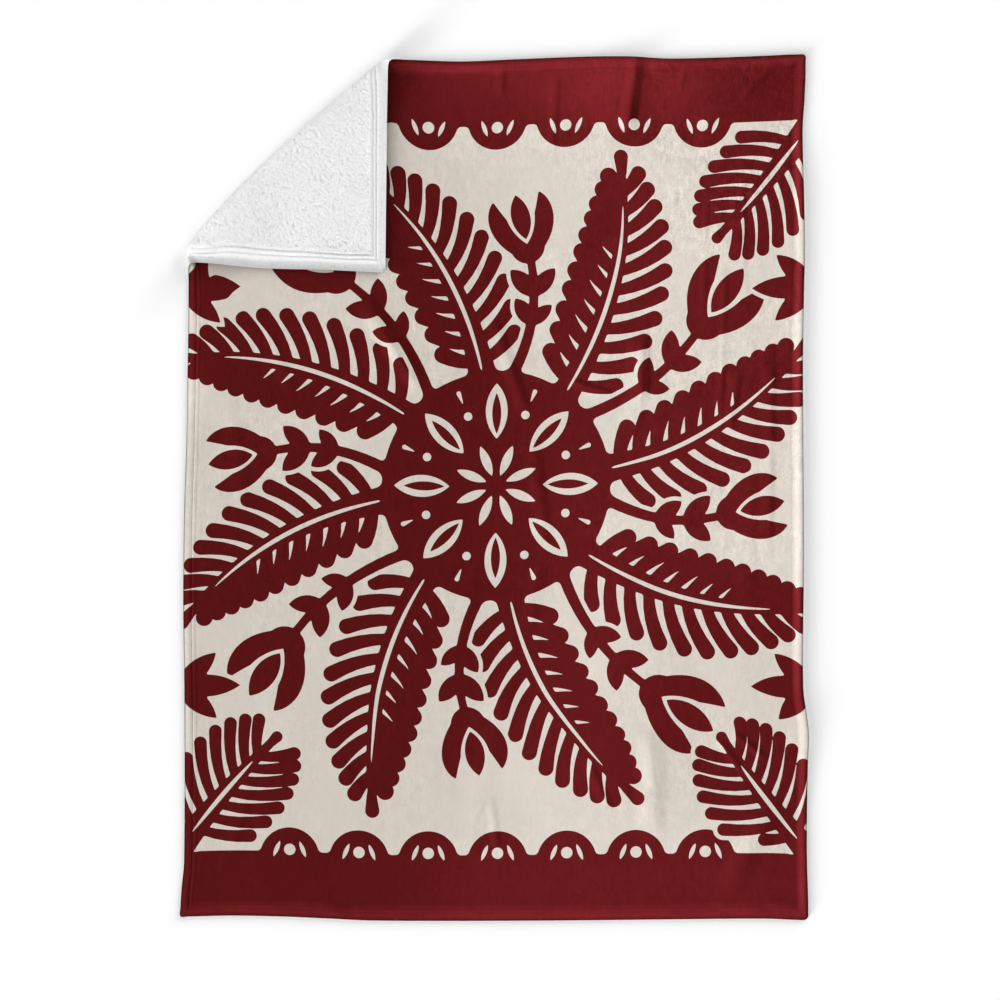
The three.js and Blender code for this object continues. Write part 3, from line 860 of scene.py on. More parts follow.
def back_inner(u, v):
    """Rises from the rim further in than the face cloth's inner side, so the two stay clear."""
    tip, d = seam(turned_over(u, v)) + 0.15, edge_distance(u, v)
    later = tip + (LAYER_GAP / 2 - tip) * rim_curve(d - 4.2, 3.5)
    across = to_fold(*spread(u, v))[1]
    at_bend = smooth((across - LIFT_OFF + 30) / 20) * (1 - smooth((across - BEND_STOP - 20) / 50))
    level = np.minimum(face_inner(u, v), later) - LAYER_GAP
    # further from the face cloth in the bend, but never through the plush's own outer side
    return np.maximum(level - 1.4 * at_bend * smooth(d / 1.2), np.minimum(level, back_outer(u, v) + 0.5))


def pile_height(u, v):
    """The curls' relief over the plush, about 0 to 1."""
    wobble_u, wobble_v = u + 1.6 * noise(u / 7, v / 7, 11), v + 1.6 * noise(u / 7, v / 7, 12)
    curl = tufts(wobble_u, wobble_v, 5.4, 1)
    fine = tufts(wobble_v + 0.4 * u, wobble_u - 0.4 * v, 3.1, 2)
    return 0.62 * curl + 0.30 * fine + 0.25 * noise(u / 14, v / 14, 13)


def back_outer(u, v):
    """The plush side."""
    d, over = edge_distance(u, v), turned_over(u, v)
    tip = seam(over) - 0.15
    shape = tip - (tip + BACK_OUT) * rim_curve(d)
    uneven = 1 + 0.35 * noise(u / 48, v / 48, 14) + 0.2 * noise(u / 17, v / 17, 15)
    # the hem along the cloth's left side is a little fuller
    fuller = smooth(0.5 + (np.abs(v) - HALF_L - np.abs(u) + HALF_W) / -80)
    hem = through(BACK_HEM, d + 0.9 * noise(u / 40, v / 40, 16)) * (1 + 0.35 * fuller)
    hem = np.where(hem > 0, hem * uneven, hem)
    # the inner row sinks less towards the turned corner's left end
    end = (1 - smooth((to_fold(*spread(u, v))[0] - 30) / 50)) * fuller
    hem = hem + ROW_RISE * hump((d - BACK_ROWS[1]) / 2.9) * end
    pile = pile_height(u, v) * (0.25 + 0.75 * smooth((d - 27) / 7)) * smooth(d / 5)
    loft = 0.8 * noise(u / 60, v / 60, 17)
    grooves = hump((d - BACK_ROWS[0]) / 3) + hump((d - BACK_ROWS[1]) / 3)
    return shape - over * (hem + 1.15 * pile + loft * smooth((d - 30) / 20)) + (1 - over) * (
        0.5 * grooves + 0.35 + 0.35 * noise(u / 21, v / 21, 18)
    ) * smooth((d - 4) / 6)


# ======================================================================================
# The two cloths
# ======================================================================================
def row_points(inset, spacing):
    """Points of the cloth's outline moved inward, at the same stations on every row."""
    w, h, r = HALF_W - inset, HALF_L - inset, max(CORNER_RADIUS - inset, 0.0)
    half_w, half_h = w - max(r, 0.35 * spacing), h - max(r, 0.35 * spacing)
    nu, nv = int(half_w / spacing), int(half_h / spacing)
    us, vs = np.arange(-nu, nu + 1) * spacing, np.arange(-nv, nv + 1) * spacing
    steps = max(1, int(math.ceil(r * math.pi / 2 / 2.6))) if r > 0.3 else 0

    def turn(cx, cy, start):
        if not steps:
            return [(cx, cy)]
        angles = [(start + 90 * k / steps) * RAD for k in range(steps + 1)]
        return [(cx + r * math.cos(a), cy + r * math.sin(a)) for a in angles]

    line = [(w, q) for q in vs] + turn(w - r, h - r, 0) + [(q, h) for q in us[::-1]] + turn(r - w, h - r, 90)
    line += [(-w, q) for q in vs[::-1]] + turn(r - w, r - h, 180) + [(q, -h) for q in us] + turn(w - r, r - h, 270)
    return np.array(line)


def of_fold(points):
    return to_fold(*spread(points[:, 0], points[:, 1]))[1]


def panel(name, outer, inner, outer_at, inner_at, faces_up):
    """A closed cloth: its outer side, and its inner side sewn to the same rim."""
    where, faces = outer
    points, spare_rows = inner
    loop = rim_loop(faces, where)
    rim = where[loop]
    places, under, _, sources = triangulate_with(points, [(rim, True)] + spare_rows)
    offset = len(points)
    number = {}
    for k, source in enumerate(sources):
        hits = [s - offset for s in source if offset <= s < offset + len(rim)]
        if hits:
            number[k] = loop[hits[0]]
    extra = [k for k in range(len(places)) if k not in number]
    for n, k in enumerate(extra):
        number[k] = len(where) + n
    under = np.vectorize(number.get, otypes=[int])(under)
    flat = np.concatenate([where, places[extra]])
    offsets = np.concatenate([outer_at(where[:, 0], where[:, 1]), inner_at(*places[extra].T)])
    put = lay(*flat.T) + lay_normal(*flat.T) * offsets[:, None]
    corners = np.concatenate([faces, under[:, ::-1]]) if faces_up else np.concatenate([faces[:, ::-1], under])
    used = np.unique(corners)
    again = np.full(len(flat), -1)
    again[used] = np.arange(len(used))
    corners = again[corners]
    return build(name, put[used] * MM, corners), flat[used], len(faces)


def triangulate_with(points, lines):
    """Triangulates the points with the lines as kept edges, keeps the triangles inside the cloth, and gives the numbers
    of the points that each place came from.
    """
    every, edges, at = [points], [], len(points)
    for line, closed in lines:
        n = len(line)
        every.append(line)
        edges += [(at + k, at + k + 1) for k in range(n - 1)]
        if closed:
            edges.append((at + n - 1, at))
        at += n
    every = np.concatenate(every)
    where, kept, faces, sources, from_edges, _ = delaunay_2d_cdt(
        [Vector(p) for p in every.tolist()], edges, [], 0, 1e-4, True
    )
    where = np.array([(p.x, p.y) for p in where])
    faces = np.array(faces)
    held = {(min(a, b), max(a, b)) for (a, b), source in zip(kept, from_edges) if source}
    a, b, c = (where[faces[:, k]] for k in range(3))
    area = ((b - a)[:, 0] * (c - a)[:, 1] - (b - a)[:, 1] * (c - a)[:, 0]) / 2
    faces[area < 0] = faces[area < 0][:, ::-1]
    middle = (a + b + c) / 3
    inside = (edge_distance(middle[:, 0], middle[:, 1]) > -1e-6) & (np.abs(area) > 1e-9)
    return where, faces[inside], held, sources


def build(name, places, corners):
    mesh = bpy.data.meshes.new(name)
    mesh.vertices.add(len(places))
    mesh.vertices.foreach_set("co", np.ascontiguousarray(places, np.float32).ravel())
    mesh.loops.add(corners.size)
    mesh.loops.foreach_set("vertex_index", corners.ravel().astype(np.int32))
    mesh.polygons.add(len(corners))
    width = corners.shape[1]
    mesh.polygons.foreach_set("loop_start", np.arange(len(corners), dtype=np.int32) * width)
    mesh.polygons.foreach_set("loop_total", np.full(len(corners), width, np.int32))
    mesh.polygons.foreach_set("use_smooth", np.ones(len(corners), bool))
    mesh.update(calc_edges=True)
    if mesh.validate():
        raise RuntimeError(f"{name}: the mesh had faults")
    piece = bpy.data.objects.new(name, mesh)
    bpy.context.scene.collection.objects.link(piece)
    return piece


def put_attribute(mesh, name, kind, domain, values):
    made = mesh.attributes.new(name, kind, domain)
    made.data.foreach_set("value", np.ascontiguousarray(values, np.float32).ravel())


def on_ridges(spacing, widest=60.0):
    """Closer points where the cloth has narrow ridges and creases."""
    p = honeycomb(spacing)
    x, y = spread(*p.T)
    keep = np.zeros(len(p), bool)
    for x0, y0, x1, y1, high, left, right, ends in RIDGES + tuple(
        (q[0] + MIDDLE[0], q[1] + MIDDLE[1], q[2] + MIDDLE[0], q[3] + MIDDLE[1]) + q[4:] for q in CREASES
    ):
        if abs(high) < 1 or min(left, right) > widest:
            continue
        size = math.hypot(x1 - x0, y1 - y0)
        dx, dy = (x1 - x0) / size, (y1 - y0) / size
        run = (x - x0) * dx + (y - y0) * dy
        off = (x - x0) * dy - (y - y0) * dx
        keep |= (run > 0) & (run < size) & (off > -min(left, 45) - 4) & (off < min(right, 45) + 4)
    return p[keep & (edge_distance(*p.T) > 41) & (of_fold(p) < LIFT_OFF - 12)]


def apart(points, others, cell):
    """Points that don't lie in a cell next to one of the others."""
    taken = {tuple(q) for q in np.floor(others / cell).astype(int).tolist()}
    keep = [
        not any((a + i, b + j) in taken for i in (-1, 0, 1) for j in (-1, 0, 1))
        for a, b in np.floor(points / cell).astype(int).tolist()
    ]
    return points[keep]


def fold_band(first, bend_stop, last, fine, coarse, along_step):
    return np.concatenate([
        fold_rows(first, bend_stop, fine, along_step),
        fold_rows(bend_stop, last, coarse, along_step),
    ])


BEND_STOP = LIFT_OFF + SECTION[3][0] + 4
FOLD_STOP = LIFT_OFF + SECTION[-1][0] + 6
print("fold", round(LIFT_OFF, 1), round(BEND_STOP, 1), round(FOLD_STOP, 1))

ink = draw_print()
lines = []
for line, closed in outlines(ink):
    x, y = line.T
    if closed and abs((x * np.roll(y, -1) - np.roll(x, -1) * y).sum()) / 2 < 130:
        continue  # a speck
    line = evened(line, closed, 3.7)
    if line is not None and len(line) > 3:
        lines.append((line, closed))
print("print outlines", len(lines), "points", sum(len(a) for a, _ in lines), round(time.perf_counter() - BEGAN, 1), "s")

# ---- printed face ---------------------------------------------------------------------
rows = [row_points(k, 5.0) for k in RIM_ROWS + (7, 10, 13.4, 15.6, 19, 21.6, 24.1, 27.2, 32, 37)]
bend = fold_band(LIFT_OFF - 8, BEND_STOP, FOLD_STOP, 2.4, 5.0, 8.0)
bend = bend[edge_distance(*bend.T) > 39]
plain = honeycomb(9.0)
plain = plain[edge_distance(*plain.T) > 41]
s = of_fold(plain)
plain = plain[(s < LIFT_OFF - 12) | (s > FOLD_STOP + 3)]
crests = on_ridges(4.5)
points = np.concatenate(rows + [bend, crests, apart(plain, crests, 4.5)])
near = np.abs(read_grid(ink, *points.T))
deep = edge_distance(*points.T)
points = points[(near > 2.3) | ((deep < 39) & (near > 1.3)) | (deep < 2.2)]
kept_rows = [(row_points(0.0, 5.0), True), (row_points(FACE_ROWS[0], 5.0), True), (row_points(FACE_ROWS[1], 5.0), True)]
where, faces, held, _ = triangulate_with(points, kept_rows + lines)
print("printed face", len(where), len(faces), round(time.perf_counter() - BEGAN, 1), "s")
a, b, c = (where[faces[:, k]] for k in range(3))
area = np.abs((b - a)[:, 0] * (c - a)[:, 1] - (b - a)[:, 1] * (c - a)[:, 0]) / 2
middle = (a + b + c) / 3
part = regions(faces, held)
_, part = np.unique(part, return_inverse=True)
vote = np.bincount(part, area * read_grid(ink, *middle.T))
red = (vote[part] < 0).astype(float)
print("red share", round(float((area * red).sum() / area.sum()), 3), round(time.perf_counter() - BEGAN, 1), "s")

inner_crests = on_ridges(7.0)
inner_points = np.concatenate(
    [inner_crests]
    + [row_points(k, 6.0) for k in (1.0, 2.2, 4.5, 12.0, 24.0)]
    + [(lambda p: p[edge_distance(*p.T) > 26])(fold_band(LIFT_OFF - 8, BEND_STOP, FOLD_STOP, 3.2, 8.0, 12.0))]
    + [(lambda p: p[(edge_distance(*p.T) > 30) & ((of_fold(p) < LIFT_OFF - 14) | (of_fold(p) > FOLD_STOP + 5))])(
        apart(honeycomb(17.0), inner_crests, 7.0))]
)
front, front_flat, front_outer_faces = panel(
    "front_fleece", (where, faces), (inner_points, []), face_outer, face_inner, True
)
put_attribute(front.data, "print", "FLOAT", "FACE", np.concatenate([red, np.zeros(len(front.data.polygons) - len(red))]))


def rise_of(x, y):
    """The narrow relief of the face over the frame's mm, for the painted light and shade on its slopes."""
    return ridges(CREASES, x, y) + ridges(RIDGES, x + MIDDLE[0], y + MIDDLE[1])


def nap_and_painted_light(u, v):
    """Painted light and shade on the printed face, partly the nap's own tone: painted highlights along the hems,
    painted shade in the stitch rows, painted light and shade on the creases' slopes, painted lit patches at the top
    end, and lighter to the right and at the lower end.
    """
    d = edge_distance(u, v)
    where = lay(u, v)
    x, y = where[:, 0], where[:, 1]
    beyond_v, beyond_u = np.abs(v) - HALF_L, np.abs(u) - HALF_W
    by_end = smooth(0.5 + (beyond_v - beyond_u) / 30)
    by_right = (1 - by_end) * (u > 0)
    by_left = (1 - by_end) * (u <= 0)
    wander = 1 + 0.38 * noise(u / 110, v / 110, 21) + 0.24 * noise(u / 30, v / 30, 22)
    far_right = smooth((x - 300) / 120) * (v > 0)
    side = 38 - 6 * far_right + 13 * noise(u / 34, v / 34, 23) * (0.4 + 0.6 * far_right)
    # painted highlights along the hems
    painted_hem_bands = smooth((d - 4) / 8) * smooth((side - d) / 20) * by_end * 0.92 * (1 - 0.30 * far_right) * (0.60 + 0.33 * (v > 0))
    painted_hem_bands += smooth((d - 4) / 6) * smooth((27 - d) / 13) * by_right * 0.64
    painted_hem_bands += (1.3 * hump((d - 21.5) / 5) + 0.7 * hump((d - 9) / 6)) * by_left * 0.24
    # painted shade in the stitch rows
    grooves = -(0.24 * hump((d - FACE_ROWS[0]) / 2.6) + 0.10 * hump((d - FACE_ROWS[1]) / 2.4)) * by_left
    grooves -= 0.05 * (hump((d - FACE_ROWS[0]) / 2) + hump((d - FACE_ROWS[1]) / 2)) * (1 - by_left)
    # painted lit patches along the top end
    lit = hump(np.minimum(1, np.hypot((x - 185) / 190, (y - 850) / 150))) * 0.66
    lit += hump(np.minimum(1, np.hypot((x - 365) / 140, (y - 850) / 140))) * 0.52
    lit += hump(np.minimum(1, np.hypot((x + 30) / 190, (y - 860) / 130))) * 0.22
    # painted light and shade on the creases' slopes: lighter where they face the lower left, darker where they face
    # away
    e = 1.5
    slope = 0.92 * (rise_of(x + e, y) - rise_of(x - e, y)) + 0.39 * (rise_of(x, y + e) - rise_of(x, y - e))
    floor = -0.36 - 0.38 * smooth((y - 560) / 160)
    lean = np.clip(1.9 * slope / (2 * e), floor, 0.36) * clear_of_corner(x, y) * (0.45 + 0.55 * lighter_to_right(x, y))
    painted_hem_bands = painted_hem_bands * wander
    lit = np.maximum(painted_hem_bands, lit) + 0.12 * np.minimum(painted_hem_bands, lit)
    # lighter towards the right, and a painted highlight at the lower end
    return lit + grooves + lean + 0.13 * lighter_to_right(x, y) + 0.06 * smooth((-y - 740) / 80)


def lighter_to_right(x, y):
    """0 over the left of the cloth, 1 over the right, where the face is painted lighter: partly painted light, partly
    the nap standing up.
    """
    start = -140 - 100 * smooth((y - 500) / 300) - 90 * smooth((-y - 350) / 300)
    start -= 110 * smooth((np.abs(y) - 690) / 90)
    low_right = smooth((x - 200) / 200) * smooth((-y - 60) / 250) * smooth((y + 790) / 160)
    return smooth((x - start) / 410) * (1 - 0.35 * smooth((x - 430) / 190)) * (1 - 0.5 * low_right)


def painted_rim_corner_shade(u, v):
    """Painted shade: dark along the rim and in the crook beside and under the turned corner."""
    d = edge_distance(u, v)
    where = lay(u, v)
    x, y = where[:, 0], where[:, 1]
    # painted shadow along the rim
    rim = 0.78 * (1 - smooth((d - 0.6) / 3.6))
    ax, ay = TIP[0] - MIDDLE[0], TIP[1] - MIDDLE[1]
    bx, by = FOLD_TOP[0] - MIDDLE[0], FOLD_TOP[1] - MIDDLE[1]
    cx, cy = FOLD_LEFT[0] - MIDDLE[0], FOLD_LEFT[1] - MIDDLE[1]
    right = x - (ax + (bx - ax) * (y - ay) / (by - ay))
    below = (ay + (cy - ay) * (x - ax) / (cx - ax)) - y
    # painted shadow beside and under the turned corner
    beside = 0.42 * np.exp(-np.maximum(right, 0) / 24.0) * smooth((y - ay + 8) / 40) * (right > -30)
    under = 0.30 * np.exp(-np.maximum(below, 0) / 7.0) * smooth((ax + 6 - x) / 30) * (below > -30)
    dark = np.maximum(rim, np.maximum(beside, under) * (turned_over(u, v) < 0.5))
    # painted highlight: the upper part of the left side, near the rim, is a little lighter
    return dark - (1 - dark) * 0.11 * smooth((75 - d) / 55) * (x < -500) * smooth((y - 90) / 110)


def lighter_right_and_right_hem(u, v):
    """How much lighter the face is: towards the right, partly painted light and partly the nap standing up, and a
    painted highlight along the right hem.
    """
    d = edge_distance(u, v)
    where = lay(u, v)
    along_right = smooth(0.5 + (np.abs(u) - HALF_W - np.abs(v) + HALF_L) / 30) * (u > 0)
    # painted highlight along the right hem
    painted_right_hem_highlight = smooth((d - 4) / 5) * smooth((24.5 - d) / 7.5) * along_right
    painted_right_hem_highlight *= smooth((HALF_L - 110 - v) / 90) * (1 + 0.3 * noise(u / 70, v / 70, 24)) * (1 - 0.4 * smooth((-v - 500) / 200))
    return 0.22 * (lighter_to_right(where[:, 0], where[:, 1]) - 0.5) + 0.44 * painted_right_hem_highlight


def nap_ruffle(u, v):
    """How ruffled the nap is: most at the top right, least at the bottom."""
    where = lay(u, v)
    x, y = where[:, 0], where[:, 1]
    patch = 0.5 + noise(u / 130, v / 170, 31) + 0.6 * noise(u / 52, v / 70, 32)
    calm = 0.26 + 0.16 * smooth((y + 700) / 900) + 0.12 * smooth((x - 100) / 400)
    calm += 0.44 * smooth((y - 300) / 480) * smooth((x - 120) / 300)
    return np.clip(calm * (0.5 + 1.0 * smooth(patch)), 0.10, 1.4)


# puts the face's painted light and shade, and how ruffled its nap is, as attributes
def put_nap_and_painted_light(mesh, u, v):
    put_attribute(mesh, "nap", "FLOAT", "POINT", nap_and_painted_light(u, v))
    put_attribute(mesh, "painted_shade", "FLOAT", "POINT", painted_rim_corner_shade(u, v))
    put_attribute(mesh, "sweep_and_painted_light", "FLOAT", "POINT", lighter_right_and_right_hem(u, v))
    put_attribute(mesh, "ruffle", "FLOAT", "POINT", nap_ruffle(u, v))


put_nap_and_painted_light(front.data, *front_flat.T)
print("front", len(front.data.polygons), round(time.perf_counter() - BEGAN, 1), "s")

# ---- plush back -----------------------------------------------------------------------
SHOWS = -16.0  # the plush is seen from here on, across the fold
rows = []
for k in RIM_ROWS + (9, 16, 24, 34, 39):
    p = row_points(k, 6.0)
    rows.append(p[of_fold(p) < SHOWS])
for k in RIM_ROWS:
    p = row_points(k, 2.0)
    rows.append(p[of_fold(p) >= SHOWS])
bend = fold_rows(LIFT_OFF - 8, SHOWS, 2.4, 7.0)
bend = bend[(edge_distance(*bend.T) > 40) & (of_fold(bend) < SHOWS)]
plain = honeycomb(10.5)
plain = plain[(edge_distance(*plain.T) > 43) & (of_fold(plain) < LIFT_OFF - 12)]
curly = honeycomb(1.9)
deep = edge_distance(*curly.T)
curly = curly[(deep > 5.6) & (np.abs(deep - BACK_ROWS[0]) > 0.8) & (np.abs(deep - BACK_ROWS[1]) > 0.8)]
curly = curly[of_fold(curly) >= SHOWS]
stitch_rows = []
for k in BACK_ROWS:
    coarse_row, fine_row = row_points(k, 6.0), row_points(k, 2.0)
    stitch_rows.append(coarse_row[of_fold(coarse_row) < SHOWS])
    stitch_rows.append(fine_row[of_fold(fine_row) >= SHOWS])
crests = on_ridges(6.0, 40.0)
points = np.concatenate(rows + stitch_rows + [bend, crests, apart(plain, crests, 6.0), curly])
rim_coarse, rim_fine = row_points(0.0, 6.0), row_points(0.0, 2.0)
# the rim is one line: fine on the turned corner, coarse elsewhere
inside = of_fold(rim_fine) >= SHOWS
on_coarse = np.array([abs(a) % 6.0 < 1e-6 or abs(b) % 6.0 < 1e-6 for a, b in rim_fine.tolist()])
curve = np.array([HALF_W - abs(a) < 9.99 and HALF_L - abs(b) < 9.99 for a, b in rim_fine.tolist()])
rim = rim_fine[inside | on_coarse | curve]
where_b, faces_b, _, _ = triangulate_with(points, [(rim, True)])
print("plush", len(where_b), len(faces_b), round(time.perf_counter() - BEGAN, 1), "s")
back, back_flat, back_outer_faces = panel(
    "back_sherpa", (where_b, faces_b), (inner_points, []), back_outer, back_inner, False
)
print("back", len(back.data.polygons), round(time.perf_counter() - BEGAN, 1), "s")

# ======================================================================================
# Thread and curls, each one joined mesh
# ======================================================================================
def stations(inset, pitch):
    """Middles and directions of the stitches along a row."""
    w, h = HALF_W - inset, HALF_L - inset
    out = []
    for (ax, ay), (bx, by) in (((w, -h), (w, h)), ((w, h), (-w, h)), ((-w, h), (-w, -h)), ((-w, -h), (w, -h))):
        size = math.hypot(bx - ax, by - ay)
        n = int((size - 3) / pitch)
        at = (np.arange(n) + 0.5) * (size - 3) / n + 1.5
        dx, dy = (bx - ax) / size, (by - ay) / size
        out.append(np.stack([ax + dx * at, ay + dy * at, dx + 0 * at, dy + 0 * at], 1))
    out = np.concatenate(out)
    jitter = RANDOM.normal(0, 0.12, (len(out), 2))
    out[:, 0] += -out[:, 3] * jitter[:, 0] + out[:, 2] * jitter[:, 1]
    out[:, 1] += out[:, 2] * jitter[:, 0] + out[:, 3] * jitter[:, 1]
    return out


def tubes(centres, radii, side, sides):
    """Closed tubes: centres (N,K,3), radii (N,K), side (N,3) a direction off their line."""
    n, k = centres.shape[:2]
    way = np.gradient(centres, axis=1)
    way /= np.maximum(np.linalg.norm(way, axis=2)[..., None], 1e-9)
    b = side[:, None, :] - way * (way * side[:, None, :]).sum(2)[..., None]
    b /= np.maximum(np.linalg.norm(b, axis=2)[..., None], 1e-9)
    a = np.cross(b, way)
    turn = np.arange(sides) * 2 * math.pi / sides
    ring_points = (
        centres[:, :, None, :]
        + radii[:, :, None, None] * (a[:, :, None, :] * np.cos(turn)[None, None, :, None]
                                     + b[:, :, None, :] * np.sin(turn)[None, None, :, None])
    )
    corners = []
    for r in range(k - 1):
        for q in range(sides):
            p, o = r * sides + q, r * sides + (q + 1) % sides
            corners += [(p, o, o + sides), (p, o + sides, p + sides)]
    for q in range(1, sides - 1):
        corners.append((0, q + 1, q))
        last = (k - 1) * sides
        corners.append((last, last + q, last + q + 1))
    corners = np.array(corners)
    every = (np.arange(n) * k * sides)[:, None, None] + corners[None]
    return ring_points.reshape(-1, 3), every.reshape(-1, 3), len(corners)


def thread_row(name, insets, surface, outward, radius):
    places, corners, shade, flat = [], [], [], []
    total = 0
    for inset in insets:
        st = stations(inset, 4.0)
        if outward > 0:
            # none inside the roll of the fold, where the face is pressed together
            across = to_fold(*spread(st[:, 0], st[:, 1]))[1]
            st = st[(across < LIFT_OFF) | (across > BEND_STOP)]
        centres = []
        for along_by, lift in ((-1.65, -0.5), (-0.6, 0.25), (0.6, 0.25), (1.65, -0.5)):
            u, v = st[:, 0] + st[:, 2] * along_by, st[:, 1] + st[:, 3] * along_by
            w = surface(u, v) + outward * lift
            centres.append(lay(u, v) + lay_normal(u, v) * w[:, None])
        centres = np.stack(centres, 1)
        radii = np.broadcast_to(np.array([0.6, 1.0, 1.0, 0.6]) * radius, centres.shape[:2])
        side = lay_normal(st[:, 0], st[:, 1])
        p, f, per = tubes(centres, radii, side, 4)
        places.append(p)
        flat.append(np.repeat(st[:, :2], len(p) // len(st), axis=0))
        corners.append(f + total)
        total += len(p)
        shade.append(np.repeat(read_grid(ink, st[:, 0], st[:, 1]) < 0, per))
    piece = build(name, np.concatenate(places) * MM, np.concatenate(corners))
    put_attribute(piece.data, "print", "FLOAT", "FACE", np.concatenate(shade).astype(float))
    if outward > 0:
        put_nap_and_painted_light(piece.data, *np.concatenate(flat).T)
    return piece


def painted_light_on_pile(u, v):
    """Painted light and shade on the turned corner's plush: its lower hem lighter at the crest and darker towards the
    rim, painted light and shade along its rows with painted shade above them, painted shade at its left end and across
    the bend there, and small changes of tone along its other hems.
    """
    d = edge_distance(u, v)
    lower = smooth(0.5 + (np.abs(v) - HALF_L - np.abs(u) + HALF_W) / -24) * (u < 0) * turned_over(u, v)
    tone = through(LOWER_HEM_PAINTED_LIGHT, d) * lower + through(RIGHT_HEM_TONE, d) * (1 - lower)
    t, across = to_fold(*spread(u, v))
    rows = hump((d - BACK_ROWS[0]) / 2.8) + hump((d - BACK_ROWS[1]) / 2.8)
    tone = tone + through(LOWER_ROW_PAINTED_LIGHT, t) * rows * lower
    tone = tone - through(LOWER_SHADE, t) * hump(np.clip((d - 28) / 12, -1, 1)) * lower
    # painted shade at the left end, and across the bend near it
    end = 0.34 * (1 - smooth((t - 12) / 12))
    bend = 0.12 * (1 - smooth((t - 35) / 60)) * hump(np.clip((across - LIFT_OFF - 24) / 26, -1, 1))
    return 1 + (tone * (1 - end) * (1 - bend) - 1) * turned_over(u, v)


def curl_mesh(name, spacing, half):
    """Half of the short curls of pile on the part of the plush that shows."""
    p = honeycomb(spacing)[half::2]
    p = p[of_fold(p) > SHOWS - 2]
    p = p + RANDOM.uniform(-0.42, 0.42, p.shape) * spacing
    p = p[edge_distance(*p.T) > 29.0]
    n = len(p)
    u, v = p.T
    normal = -lay_normal(u, v)
    root = lay(u, v) + lay_normal(u, v) * back_outer(u, v)[:, None]
    e = lay(u + 0.5, v) - lay(u - 0.5, v)
    e /= np.linalg.norm(e, axis=1)[:, None]
    f = np.cross(normal, e)
    turn = RANDOM.uniform(0, 2 * math.pi, n)[:, None]
    lateral = e * np.cos(turn) + f * np.sin(turn)
    across = np.cross(normal, lateral)
    tilt = RANDOM.uniform(0.5, 1.25, n)[:, None]
    up = normal * np.cos(tilt) + across * np.sin(tilt)
    r = RANDOM.uniform(0.85, 1.45, n)[:, None]
    centres, thick = [], []
    reach = RANDOM.uniform(3.3, 4.3, n)[:, None]
    for q in np.linspace(0, 1, 5):
        a = q * reach
        centres.append(root - normal * 0.35 + lateral * r * (1 - np.cos(a)) * 0.95 + up * r * np.sin(a) * 1.0
                       + normal * 0.5 * q)
        thick.append(0.52 - 0.26 * abs(2 * q - 0.9) ** 2)
    centres = np.stack(centres, 1)
    radii = np.broadcast_to(np.array(thick), centres.shape[:2]) * RANDOM.uniform(0.85, 1.15, (n, 1))
    places, corners, per = tubes(centres, radii, across, 3)
    piece = build(name, places * MM, corners)
    tone = np.repeat(RANDOM.uniform(0, 1, n), per)
    put_attribute(piece.data, "tone", "FLOAT", "FACE", tone)
    put_attribute(piece.data, "painted_light", "FLOAT", "FACE", np.repeat(painted_light_on_pile(u, v), per))
    return piece


front_thread = thread_row("front_thread", FACE_ROWS, face_outer, 1.0, 0.34)
back_thread = thread_row("back_thread", BACK_ROWS, back_outer, -1.0, 0.38)
curls = [curl_mesh(f"sherpa_curls_{k + 1}", 2.9, k) for k in (0, 1)]
print("threads", len(front_thread.data.polygons), len(back_thread.data.polygons), "curls", [len(c.data.polygons) for c in curls],
      round(time.perf_counter() - BEGAN, 1), "s")
pile = pile_height(*back_flat.T)
put_attribute(back.data, "pile", "FLOAT", "POINT", np.clip(pile, -0.6, 1.0))
put_attribute(back.data, "open", "FLOAT", "POINT", smooth((edge_distance(*back_flat.T) - 26) / 7))
put_attribute(back.data, "painted_light", "FLOAT", "POINT", painted_light_on_pile(*back_flat.T))


